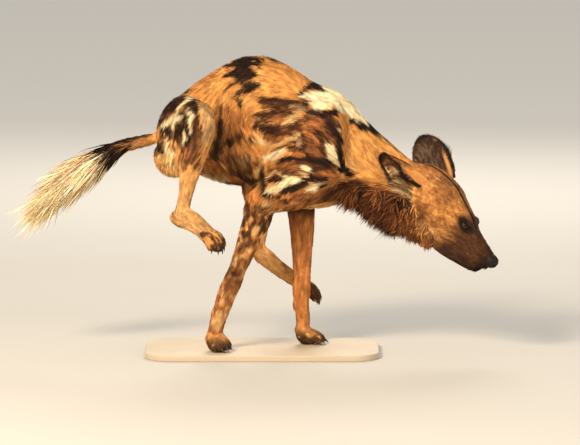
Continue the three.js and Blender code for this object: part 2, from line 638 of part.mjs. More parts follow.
for (const [name, { hinge, thigh, haunch, shank, foot }] of Object.entries(hindLegs)) {
  const made = pawPieces(pawShapes.hanging, footFrame(foot, hinge));
  const low = limb(shank, hinge, 12, 1);
  const [knee, hock] = [low.middle(KNEE), low.middle(HOCK)];
  const kneeAxis = low.middle(KNEE + 0.5).sub(low.middle(KNEE - 0.5)).normalize();
  const metatarsus = limb(foot, hinge, 12, 1);
  const hockAxis = hock.clone().sub(low.middle(HOCK - 2)).normalize();
  hockAxis.add(metatarsus.middle(4).sub(metatarsus.middle(2)).normalize()).normalize();
  const [front, rear] = [limb(thigh, hinge, 12), limb(haunch, hinge, 10, 1)];
  const muscles = (grow) => front.solid(grow).add(rear.solid(grow));
  const upper = muscles(0).add(keepSide(low.solid(), knee, kneeAxis.clone().negate()));
  const lower = join([low.solid(), metatarsus.solid(), made.paw]);
  const below = keepSide(lower, knee, kneeAxis).subtract(muscles(GAP));
  add(`thigh_${name}`, upper.subtract(trunkClear).subtract(tail.solid(GAP)), "coat");
  add(`shank_${name}`, keepSide(below, hock, hockAxis.clone().negate()), "coat");
  add(`hindfoot_${name}`, keepSide(below, hock, hockAxis), "dark");
  made.claws.forEach((claw, i) => add(`claw_hindfoot_${name}_${i + 1}`, claw, "claw"));
}

const brushFoot = tail.middle(BRUSH.foot);
const tailAxis = tail.middle(BRUSH.foot + 0.3).sub(tail.middle(BRUSH.foot - 0.3)).normalize();
add("tail_root", keepSide(tail.solid().subtract(trunkClear), brushFoot, tailAxis.clone().negate()), "coat");
add("tail_brush", keepSide(tail.solid().add(brushLocks()), brushFoot, tailAxis), "white");
add("stand_base", solid(baseGeometry()), "base");

export default dog;
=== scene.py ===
"""An African wild dog marking scent, life size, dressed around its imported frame."""

import logging
import math
from dataclasses import dataclass, field, replace
from enum import Enum
from typing import Callable

import bmesh
import bpy
import numpy as np
from mathutils import Matrix, Vector


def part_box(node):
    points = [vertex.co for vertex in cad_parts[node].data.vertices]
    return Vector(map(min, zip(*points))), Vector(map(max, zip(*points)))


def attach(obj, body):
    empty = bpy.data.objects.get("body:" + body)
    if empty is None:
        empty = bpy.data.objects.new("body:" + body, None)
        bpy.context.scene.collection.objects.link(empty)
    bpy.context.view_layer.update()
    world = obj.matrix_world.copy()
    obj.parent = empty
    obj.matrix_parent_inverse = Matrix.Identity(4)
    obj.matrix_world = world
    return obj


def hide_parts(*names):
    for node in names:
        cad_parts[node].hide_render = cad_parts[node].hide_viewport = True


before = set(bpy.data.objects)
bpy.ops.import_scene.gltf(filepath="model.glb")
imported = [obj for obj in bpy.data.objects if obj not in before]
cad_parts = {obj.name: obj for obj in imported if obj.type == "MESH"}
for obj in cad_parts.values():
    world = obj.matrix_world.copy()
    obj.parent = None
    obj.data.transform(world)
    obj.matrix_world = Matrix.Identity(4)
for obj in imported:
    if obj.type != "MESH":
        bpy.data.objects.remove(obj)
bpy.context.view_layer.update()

Array = np.ndarray
Object = bpy.types.Object
Material = bpy.types.Material
Point = tuple[float, float, float]
Colour = tuple[float, float, float]
Face = tuple[int, ...]

log = logging.getLogger("wild_dog")

MM = 0.001
UP = np.array([0.0, 0.0, 1.0])
LEFT = np.array([0.0, 1.0, 0.0])
SIDES = {"left": 1.0, "right": -1.0}


# Numbers


def unit(v: Array) -> Array:
    """Return vectors scaled to length one."""
    return v / np.maximum(np.linalg.norm(v, axis=-1, keepdims=True), 1e-9)


def ease(x: Array, low: float, high: float) -> Array:
    """Return a smooth step from 0 at low to 1 at high.

    Args:
        x: Values to grade.
        low: Where the step starts.
        high: Where the step ends.

    Returns:
        Values between 0 and 1.
    """
    t = np.clip((x - low) / (high - low), 0.0, 1.0)
    return t * t * (3 - 2 * t)


def band(x: Array, low: float, high: float) -> Array:
    """Return one between two limits and zero outside them, with soft ends."""
    soft = 0.2 * (high - low)
    return ease(x, low, low + soft) * (1 - ease(x, high - soft, high))


def full_turn(count: int) -> Array:
    """Return evenly spaced angles round a full turn."""
    return np.linspace(0, 2 * math.pi, count, endpoint=False)


def dots(a: Array, b: Array) -> Array:
    """Return the dot products of two lists of vectors, kept as a column."""
    return (a * b).sum(-1, keepdims=True)


def capsule(points: Array, start: Array, end: Array) -> Array:
    """Return the distance of points from a straight segment.

    Args:
        points: Places, one a row, in two or three dimensions.
        start: One end of the segment.
        end: Its other end.

    Returns:
        One distance for each point.
    """
    axis = end - start
    share = np.clip(((points - start) @ axis) / max(float(axis @ axis), 1e-12), 0, 1)
    return np.linalg.norm(points - start - share[:, None] * axis, axis=1)


def added(name: str, data: bpy.types.ID) -> Object:
    """Return a new object of the scene that holds some data."""
    made = bpy.data.objects.new(name, data)
    bpy.context.scene.collection.objects.link(made)
    return made


def dress(piece: Object, finish: Material, nodes: list[str] | None = None) -> None:
    """Give a piece its finish and let it ride on the body.

    Args:
        piece: The piece.
        finish: Its material.
        nodes: The nodes of the frame that it replaces.
    """
    piece.data.materials.append(finish)
    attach(piece, "root")
    if nodes:
        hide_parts(*nodes)


class Noise:
    """Smooth repeatable noise between 0 and 1 over space."""

    SIZE = 32
    LAYERS = 3
    SAMPLES = 7  # steps of a smear

    def __init__(self, cell: float, seed: int) -> None:
        """Make the lattice of a noise.

        Args:
            cell: Size of one lattice cell in metres.
            seed: Chooses the pattern.
        """
        self.cell = cell
        self.table = np.random.default_rng(seed).random((self.SIZE,) * 3)

    def __call__(self, points: Array) -> Array:
        """Return the noise at each point."""
        q = points / self.cell
        low = np.floor(q).astype(int)
        t = q - low
        t = t * t * (3 - 2 * t)
        total = np.zeros(len(points))
        for corner in range(8):
            bits = np.array([corner & 1, corner >> 1 & 1, corner >> 2 & 1])
            i, j, k = ((low + bits) % self.SIZE).T
            weight = np.where(bits, t, 1 - t).prod(1)
            total += weight * self.table[i, j, k]
        return total

    def layered(self, points: Array) -> Array:
        """Return the noise with finer layers added, still about 0 to 1."""
        total = sum(self(points * 2.1**n + 7.3 * n * self.cell) * 0.5**n for n in range(self.LAYERS))
        return total / (2 - 0.5 ** (self.LAYERS - 1))

    def streaks(self, points: Array, lie: Array, reach: float) -> Array:
        """Return the noise smeared along the hair, stretched back to about 0 to 1.

        Args:
            points: Places on the skin.
            lie: Direction of the hair at each.
            reach: Half the length of the smear in metres.

        Returns:
            One value for each point.
        """
        total = sum(self(points + lie * t) for t in np.linspace(-reach, reach, self.SAMPLES))
        return np.clip(0.5 + (total / self.SAMPLES - 0.5) * 2.0, 0, 1)


# Swept bodies


def between(stations: Array, s: Array) -> Array:
    """Return rows on the smooth curve through a list of stations.

    Args:
        stations: Rows of numbers.
        s: Places along the list, 0 at the first row.

    Returns:
        One row for each place.
    """
    last = len(stations) - 1
    i = np.clip(np.floor(s).astype(int), 0, last - 1)
    t = (s - i)[:, None]
    a, b, c, d = (stations[np.clip(i + k, 0, last)] for k in (-1, 0, 1, 2))
    return 0.5 * (
        2 * b + (c - a) * t + (2 * a - 5 * b + 4 * c - d) * t**2 + (3 * b - a - 3 * c + d) * t**3
    )


@dataclass
class Hair:
    """How the coat grows on one part: sizes in millimetres, lift in degrees, tufts a square centimetre."""

    length: float
    width: float
    lift: float
    density: float
    depth: float


@dataclass
class Sweep:
    """A body of rings swept through stations, in millimetres, and the hair on it."""

    name: str
    rows: list[tuple[float, ...]]
    hair: Hair
    sides: int = 40
    steps: int = 5
    place: Array | None = None

    def points(self, s: Array, angle: Array, grow: float = 0.0) -> Array:
        """Return surface points in metres for every pair of place and angle.

        Args:
            s: Places along the stations.
            angle: Angles round each ring, 0 to the dog's left and a quarter turn up or forward.
            grow: How far outside the surface, in millimetres.

        Returns:
            An array of shape (places, angles, 3).
        """
        found = self.ring(s, angle, grow)
        if self.place is not None:
            found = found @ self.place[:3, :3].T + self.place[:3, 3]
        return found * MM

    def ring(self, s: Array, angle: Array, grow: float) -> Array:
        """Return surface points in the sweep's own frame."""
        raise NotImplementedError

    def axis(self, count: int = 60) -> tuple[Array, Array, Array]:
        """Return middles, directions and mean radii along the sweep, in metres."""
        s = np.linspace(0, len(self.rows) - 1, count)
        around = self.points(s, full_turn(12))
        middle = around.mean(1)
        radius = np.linalg.norm(around - middle[:, None], axis=2).mean(1)
        return middle, unit(np.gradient(middle, axis=0)), radius

    def mesh(self) -> tuple[Array, Array]:
        """Return the closed surface, set in by the depth of the coat, as vertices and triangles."""
        count = (len(self.rows) - 1) * self.steps + 1
        s = np.linspace(0, len(self.rows) - 1, count)
        rings = self.points(s, full_turn(self.sides), -self.hair.depth)
        corners = np.concatenate([rings.reshape(-1, 3), rings[0].mean(0)[None], rings[-1].mean(0)[None]])
        k = np.arange(self.sides)
        nxt = (k + 1) % self.sides
        faces = []
        for r in range(count - 1):
            a, b = r * self.sides + k, r * self.sides + nxt
            faces += [np.stack([a, b, b + self.sides], 1), np.stack([a, b + self.sides, a + self.sides], 1)]
        end = (count - 1) * self.sides
        faces.append(np.stack([nxt, k, np.full_like(k, len(corners) - 2)], 1))
        faces.append(np.stack([end + k, end + nxt, np.full_like(k, len(corners) - 1)], 1))
        return corners, np.concatenate(faces)


@dataclass
class Slices(Sweep):
    """Rows of topX, topZ, bottomX, bottomZ, half width, egg, square, shift and roll, seen from the side."""

    def ring(self, s: Array, angle: Array, grow: float) -> Array:
        """Return the points of upright slices, wider above their middle by egg and boxier by square."""
        rows = np.array([row + (0.0,) * (9 - len(row)) for row in self.rows])
        tx, tz, bx, bz, half, egg, square, shift, roll = between(rows, s).T[..., None]
        up = np.stack([tx - bx, 0 * tx, tz - bz], -1) / 2
        high = np.linalg.norm(up, axis=-1)
        up = up / high[..., None]
        turn = np.radians(roll)[..., None]
        side = LEFT * np.cos(turn) + up * np.sin(turn)
        up = up * np.cos(turn) - LEFT * np.sin(turn)
        sine, cosine = np.sin(angle), np.cos(angle)
        power = 1 - 0.4 * square
        tall = (high + grow) * np.sign(sine) * np.abs(sine) ** power
        wide = (half + grow) * (1 + egg * sine) * np.sign(cosine) * np.abs(cosine) ** power
        middle = np.stack([(tx + bx) / 2, shift, (tz + bz) / 2], -1)
        return middle + tall[..., None] * up + wide[..., None] * side


@dataclass
class Limb(Sweep):
    """Rows of x, y, z, half width across the limb, and reach to the front and to the back."""

    hinge: Point = (0.0, 1.0, 0.0)

    def ring(self, s: Array, angle: Array, grow: float) -> Array:
        """Return the points of rings that stand square to the limb and turn about its hinge."""
        rows = np.array([row if len(row) == 6 else row + (row[4],) for row in self.rows])
        found = between(rows, s)
        along = unit(between(rows, s + 0.05)[:, :3] - between(rows, s - 0.05)[:, :3])
        front = unit(np.cross(along, np.array(self.hinge)))
        side = unit(np.cross(front, along))
        sine, cosine = np.sin(angle)[None, :, None], np.cos(angle)[None, :, None]
        middle, across, fore, aft = found[:, None, :3], found[:, None, 3:4], found[:, None, 4:5], found[:, None, 5:6]
        reach = np.where(sine > 0, fore, aft)
        return middle + (reach + grow) * sine * front[:, None] + (across + grow) * cosine * side[:, None]


# The dog's measures


@dataclass(frozen=True)
class HeadFrame:
    """Where the head sits: u forward from the back of the skull, v to the left, w up, in millimetres."""

    origin: Point = (400.0, -9.0, 375.0)
    pitch: float = 42.3
    yaw: float = 18.0
    roll: float = 20.0

    def matrix(self) -> Array:
        """Return the four by four matrix from the head's frame to the dog's, in millimetres."""
        turn = (
            Matrix.Rotation(math.radians(self.pitch), 4, "Y")
            @ Matrix.Rotation(math.radians(-self.yaw), 4, "Z")
            @ Matrix.Rotation(math.radians(self.roll), 4, "X")
        )
        return np.array(Matrix.Translation(self.origin) @ turn)

    def local(self, points: Array) -> Array:
        """Return points given in metres as u, v and w in millimetres."""
        m = self.matrix()
        return (points / MM - m[:3, 3]) @ m[:3, :3]

    def world(self, points: Array) -> Array:
        """Return points given as u, v and w in millimetres as metres in the dog's frame."""
        m = self.matrix()
        return (np.asarray(points, float) @ m[:3, :3].T + m[:3, 3]) * MM

    def direction(self, vector: Array) -> Array:
        """Return a direction of the head's frame in the dog's frame."""
        return np.asarray(vector, float) @ self.matrix()[:3, :3].T


HEAD = HeadFrame()

BODY_HAIR = Hair(length=17, width=1.7, lift=13, density=26, depth=4)
HEAD_HAIR = Hair(length=9, width=1.1, lift=13, density=52, depth=1.8)
LEG_HAIR = Hair(length=10, width=1.3, lift=11, density=38, depth=2)
PAW_HAIR = Hair(length=7, width=1.1, lift=12, density=50, depth=1.5)
TAIL_HAIR = Hair(length=20, width=1.6, lift=12, density=30, depth=3)

TRUNK = Slices(
    "trunk",
    [
        (-250, 540, -244, 510, 18), (-238, 568, -222, 484, 44), (-211, 608, -178, 474, 58),
        (-164, 650, -124, 470, 65), (-110, 686, -84, 438, 70, 0.05), (-50, 715, -52, 420, 77, 0.05),
        (12, 717, -12, 388, 84, 0.1), (70, 692, 35, 360, 87, 0.12), (126, 656, 92, 347, 84, 0.1),
        (172, 641, 152, 350, 76), (214, 611, 204, 364, 67), (260, 558, 242, 375, 60),
        (304, 517, 276, 342, 54, 0, 0, -3, 5), (346, 481, 314, 316, 52, 0, 0, -6, 10),
        (388, 455, 352, 298, 52, 0, 0, -8, 15), (418, 428, 390, 310, 44, 0, 0, -10, 20),
    ],
    BODY_HAIR,
    sides=64,
)
SKULL = Slices(
    "skull",
    [
        (-86, 40, -66, -50, 30), (-54, 65, -32, -80, 53, 0.12), (-8, 76, 16, -87, 69, 0.15),
        (36, 73, 54, -84, 69, 0.15), (74, 60, 88, -79, 57, 0.14, 0.1), (103, 49, 112, -72, 44, 0.16, 0.3),
        (124, 39, 131, -52, 35, 0.1, 0.6), (143, 28, 149, -44, 31, 0, 0.8), (170, 20, 170, -42, 28, 0, 0.8),
        (197, 13, 194, -40, 25, 0, 0.7), (213, 8, 211, -36, 20, 0, 0.5), (221, 2, 220, -27, 12),
    ],
    HEAD_HAIR,
    sides=56,
    place=HEAD.matrix(),
)
JAW = Slices(
    "jaw",
    [
        (32, -36, 44, -76, 38), (76, -24, 88, -81, 45, 0, 0.3), (114, -16, 120, -80, 35, 0, 0.5),
        (152, -14, 155, -72, 28, 0, 0.6), (183, -14, 182, -65, 25, 0, 0.6), (202, -18, 199, -58, 19.5, 0, 0.4),
        (209, -32, 207, -51, 10),
    ],
    HEAD_HAIR,
    sides=40,
    place=HEAD.matrix(),
)
FORELEGS = {
    "right": (
        [
            (178, -40, 622, 8, 12), (172, -56, 596, 19, 30), (162, -67, 556, 27, 47), (148, -74, 500, 31, 60),
            (132, -78, 448, 33, 64), (84, -82, 410, 33, 55), (26, -80, 390, 30, 46, 52),
            (-4, -76, 366, 27, 38, 42), (-13, -73, 332, 25, 35, 35),
        ],
        [
            (2, -75, 386, 24, 38, 42), (-11, -74, 336, 25, 37, 36), (-24, -73, 306, 24, 32, 31),
            (-34, -72, 276, 22, 29, 29), (-46, -71, 244, 21, 27, 26), (-59, -70, 212, 20, 24, 23),
            (-71, -69, 182, 21, 26, 25), (-84, -67, 152, 21, 25, 25), (-95, -65, 118, 20, 23, 23),
            (-105, -63, 88, 19, 21, 22), (-111, -62, 62, 19, 19, 20), (-115, -62, 44, 18, 16, 17),
        ],
        (-114, -62, -62),
    ),
    "left": (
        [
            (178, 40, 622, 8, 12), (174, 56, 596, 19, 30), (168, 67, 556, 27, 47), (156, 74, 500, 31, 60),
            (150, 77, 448, 33, 62), (126, 77, 404, 33, 52), (100, 71, 372, 30, 42, 46),
            (94, 65, 340, 27, 36, 35), (95, 60, 322, 26, 33, 34),
        ],
        [
            (92, 67, 366, 26, 39, 41), (95, 61, 326, 25, 34, 35), (96, 56, 290, 24, 32, 32),
            (96, 52, 256, 22, 29, 29), (96, 49, 220, 20, 26, 26), (96, 46, 184, 20, 24, 24),
            (95, 44, 150, 21, 25, 25), (95, 43, 118, 19, 21, 21), (97, 42, 88, 19, 20, 20),
            (99, 42, 62, 19, 18, 19), (99, 42, 44, 18, 15, 16),
        ],
        (100, 42, 4),
    ),
}
HIND_LEGS = {
    "right": (
        (0.87, 0.42, -0.18),
        [
            (-228, -10, 540, 16, 30, 26), (-222, -34, 540, 34, 60, 48), (-204, -66, 546, 42, 76, 76),
            (-184, -108, 556, 43, 80, 86), (-162, -150, 570, 41, 68, 90), (-145, -184, 582, 35, 48, 78),
            (-138, -203, 580, 26, 32, 54), (-135, -214, 582, 13, 15, 30),
        ],
        [
            (-229, -40, 512, 24, 44, 26), (-223, -72, 492, 35, 66, 35), (-216, -104, 480, 39, 78, 39),
            (-203, -138, 478, 36, 80, 37), (-186, -168, 480, 26, 66, 30),
        ],
        [
            (-144, -182, 612, 12, 14, 15), (-142, -190, 596, 25, 28, 32), (-142, -194, 566, 31, 40, 46),
            (-156, -193, 508, 32, 32, 54), (-170, -188, 452, 26, 22, 34), (-178, -184, 410, 20, 19, 22),
            (-186, -180, 376, 18, 19, 20), (-194, -176, 350, 18, 20, 22), (-196, -175, 338, 15, 15, 16),
        ],
        [
            (-212, -160, 346, 12, 10, 10), (-200, -171, 347, 19, 24, 20), (-182, -185, 346, 22, 30, 24),
            (-162, -203, 338, 22, 31, 22), (-143, -221, 327, 21, 27, 21), (-124, -237, 313, 22, 23, 22),
        ],
    ),
    "left": (
        (0.0, 1.0, 0.0),
        [
            (-232, 16, 546, 14, 20, 22), (-214, 34, 538, 28, 44, 48), (-176, 48, 520, 36, 64, 66),
            (-130, 58, 494, 37, 64, 74), (-80, 68, 466, 34, 54, 68), (-36, 76, 444, 30, 40, 54),
            (-10, 80, 430, 24, 28, 40),
        ],
        [
            (-234, 22, 524, 20, 24), (-214, 38, 506, 30, 36), (-176, 52, 484, 32, 38), (-130, 60, 458, 28, 34),
            (-96, 66, 440, 18, 22),
        ],
        [
            (-3, 82, 472, 12, 12, 14), (-4, 82, 458, 24, 24, 28), (-8, 83, 424, 29, 34, 40),
            (-6, 82, 384, 28, 30, 46), (0, 80, 336, 23, 24, 34), (-2, 78, 296, 18, 20, 24),
            (-8, 77, 264, 18, 19, 20), (-12, 76, 242, 18, 19, 20), (-14, 76, 232, 15, 15, 16),
        ],
        [
            (-30, 74, 238, 12, 10, 10), (-16, 75, 238, 18, 20, 20), (2, 78, 226, 20, 24, 24),
            (32, 83, 200, 19, 22, 22), (68, 90, 173, 19, 20, 20), (106, 97, 147, 20, 19, 19),
        ],
    ),
}
TAIL = Limb(
    "tail",
    [
        (-226, 0, 530, 15, 17), (-252, 0, 521, 16, 17), (-288, -2, 512, 16, 17), (-330, -3, 501, 17, 18),
        (-372, -4, 478, 18, 20), (-414, -5, 454, 17, 20), (-454, -6, 426, 14, 16), (-488, -7, 398, 10, 11),
        (-512, -7, 376, 4, 4),
    ],
    TAIL_HAIR,
    sides=28,
)


@dataclass(frozen=True)
class PawForm:
    """A paw in its own frame, x to the toes and z up: reach, toe rows of share, height and half sizes, pad and stem."""

    reach: float
    toe: tuple[tuple[float, float, float, float], ...]
    pad: tuple[Point, Point]
    stem: tuple[tuple[float, ...], ...]
    width: float = 54.0
    toes: int = 4

    def along_toe(self, toe: int, t: float) -> tuple[float, float]:
        """Return how far ahead and how far to the left a share t of a toe's length is."""
        spread = toe - (self.toes - 1) / 2
        long = self.reach * (1.0 if abs(spread) < 1 else 0.82)
        return long * t, spread * self.width * (0.2 + 0.07 * t)


STANDING = PawForm(
    52,
    (
        (-0.2, 26, 9, 11), (0.1, 27, 11, 14), (0.35, 25, 12, 15), (0.6, 19, 11.6, 15), (0.82, 13, 11, 13.5),
        (1, 9.5, 6.5, 7),
    ),
    ((8, 0, 12), (22, 22.7, 17)),
    ((-9, 0, 46, 18, 15), (-5, 0, 26, 19, 18), (2, 0, 10, 17, 16)),
)
HANGING = PawForm(
    46,
    (
        (-0.2, 0, 10, 12), (0.1, 3, 11.5, 15), (0.35, 3, 12, 15.5), (0.6, -1, 11.8, 15), (0.84, -6, 11, 12.5),
        (1, -12, 6.5, 7.5),
    ),
    ((12, 0, -9), (20, 20.5, 14)),
    ((-22, 0, 0, 18, 17), (-8, 0, 1, 20, 18), (10, 0, 0, 20, 16)),
)


def paw_sweeps(name: str, form: PawForm, place: Array) -> list[Sweep]:
    """Return the toes, pads and stem of one paw.

    Args:
        name: The paw's name.
        form: Its shape.
        place: Matrix from the paw's frame to the dog's.

    Returns:
        Sweeps in the paw's place.
    """
    parts: list[Sweep] = []
    for i in range(form.toes):
        rows = [(*form.along_toe(i, t), high, across, tall) for t, high, across, tall in form.toe]
        parts.append(Limb(f"{name}_toe_{i + 1}", rows, PAW_HAIR, sides=18, steps=3, place=place))
        x, y, z = rows[-1][:3]
        pad = [(x - 16, y, z - 3, 5, 3), (x - 9, y, z - 5.5, 8, 4.5), (x - 1, y, z - 4, 4, 3)]
        parts.append(Limb(f"{name}_toe_pad_{i + 1}", pad, PAW_HAIR, sides=14, steps=3, place=place))
    (x, y, z), (long, wide, high) = form.pad
    bulge = [
        (x + long * math.sin(a), y, z, wide * math.cos(a) + 0.3, high * math.cos(a) + 0.3)
        for a in np.linspace(-1.5, 1.5, 7)
    ]
    parts.append(Limb(f"{name}_pad", bulge, PAW_HAIR, sides=18, steps=3, place=place))
    parts.append(Limb(f"{name}_stem", list(form.stem), PAW_HAIR, sides=24, steps=3, place=place))
    return parts


def paw_places() -> list[tuple[str, PawForm, Array]]:
    """Return each paw's name, shape and place."""
    found = []
    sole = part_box("stand_base")[1].z / MM + 0.3
    for side, (_, _, (x, y, heading)) in FORELEGS.items():
        turn = Matrix.Rotation(math.radians(heading), 4, "Z")
        found.append((f"forepaw_{side}", STANDING, np.array(Matrix.Translation((x, y, sole)) @ turn)))
    for side, (hinge, _, _, _, foot) in HIND_LEGS.items():
        a, b = np.array(foot[-2][:3], float), np.array(foot[-1][:3], float)
        along = unit(b - a)
        above = unit(np.cross(along, unit(np.array(hinge))))
        place = np.eye(4)
        place[:3, :3] = np.stack([along, unit(np.cross(above, along)), above], 1)
        place[:3, 3] = b
        found.append((f"hindfoot_{side}", HANGING, place))
    return found


def flesh() -> list[Sweep]:
    """Return every body that the skin is drawn over."""
    parts: list[Sweep] = [TRUNK, SKULL, JAW, TAIL]
    for side, (upper, lower, _) in FORELEGS.items():
        parts.append(Limb(f"shoulder_{side}", upper, BODY_HAIR))
        parts.append(Limb(f"foreleg_{side}", lower, LEG_HAIR, sides=32))
    for side, (hinge, thigh, haunch, shank, foot) in HIND_LEGS.items():
        hinge_axis = tuple(unit(np.array(hinge)))
        for kind, rows in (("thigh", thigh), ("haunch", haunch), ("shank", shank), ("foot", foot)):
            hair = BODY_HAIR if kind in ("thigh", "haunch") else LEG_HAIR
            parts.append(Limb(f"{kind}_{side}", rows, hair, sides=36, hinge=hinge_axis))
    for name, form, place in paw_places():
        parts += paw_sweeps(name, form, place)
    return parts


@dataclass(frozen=True)
class EyeForm:
    """An eye in the head's frame, for the left side: middle, radius, lid thickness and the almond's half sizes."""

    middle: Point = (116.0, 26.0, 26.0)
    radius: float = 11.0
    lid: float = 1.4
    half_wide: float = 9.2
    half_high: float = 2.8
    out: Point = (0.3, 0.94, 0.1)
    long: Point = (0.88, -0.3, -0.3)

    def axes(self) -> Array:
        """Return the rows along the almond, across it and out of the head."""
        out = unit(np.array(self.out))
        long = unit(np.array(self.long) - out * float(np.array(self.long) @ out))
        return np.stack([long, np.cross(out, long), out])


EYE = EyeForm()
LIP_LINE = np.array(
    [(217, 3, -30), (204, 20, -37), (182, 28, -41), (150, 32, -44), (118, 38, -48), (98, 46, -46)], float
)


@dataclass(frozen=True)
class Relief:
    """A rise or hollow along a segment, mirrored to both sides if twin is set. Millimetres."""

    start: Point
    end: Point
    radius: float
    rise: float
    twin: bool = False

    def height(self, points: Array) -> Array:
        """Return how far the surface moves out at each point, all in millimetres."""
        q = np.abs(points * (0, 1, 0)) + points * (1, 0, 1) if self.twin else points
        near = capsule(q, np.array(self.start, float), np.array(self.end, float))
        return self.rise * np.exp(-((near / self.radius) ** 2))


BODY_RELIEF = [
    Relief((170, 64, 600), (128, 86, 490), 13, 2.5, True),
    Relief((148, 100, 440), (120, 104, 415), 26, 3, True),
    Relief((222, 60, 555), (196, 80, 420), 17, -4, True),
    Relief((60, 92, 560), (46, 100, 450), 20, -4, True),
    Relief((-62, 74, 560), (-84, 70, 500), 34, -5, True),
    Relief((-158, 44, 650), (-176, 50, 628), 17, 3.5, True),
    Relief((250, 52, 480), (330, 46, 400), 13, -2.5, True),
    Relief((-30, -98, 300), (-78, -90, 150), 5, -1.2),
    Relief((96, 30, 290), (96, 22, 130), 5, -1.2),
    Relief((-124, -66, 116), (-126, -65, 108), 7, 4),
    Relief((80, 43, 116), (79, 43, 108), 7, 4),
    Relief((-196, -200, 420), (-208, -190, 372), 5, -2.5),
    Relief((-176, -165, 430), (-196, -160, 372), 5, -2.5),
    Relief((-24, 60, 300), (-26, 58, 262), 5, -2.5),
    Relief((-28, 98, 300), (-28, 96, 262), 5, -2.5),
] + [
    Relief((96 - 24 * i, 84, 590 + 6 * i), (62 - 25 * i, 90, 450 + 5 * i), 6.5, 0.9, True) for i in range(6)
]
HEAD_RELIEF = [
    Relief((96, 40, 41), (120, 30, 40), 8, 2.2, True),
    Relief((100, 44, 8), (66, 62, -2), 12, 3, True),
    Relief((134, 26, 8), (150, 26, -6), 10, -1.8, True),
    Relief((176, 27, -26), (200, 22, -22), 11, 2.2, True),
    Relief((60, 0, 74), (118, 0, 48), 7, -1.4),
    Relief((130, 0, 36), (146, 0, 28), 10, -1.6),
    Relief((20, 52, 52), (52, 46, 54), 14, 2.0, True),
    Relief((70, 58, -50), (40, 66, -40), 18, 3, True),
]


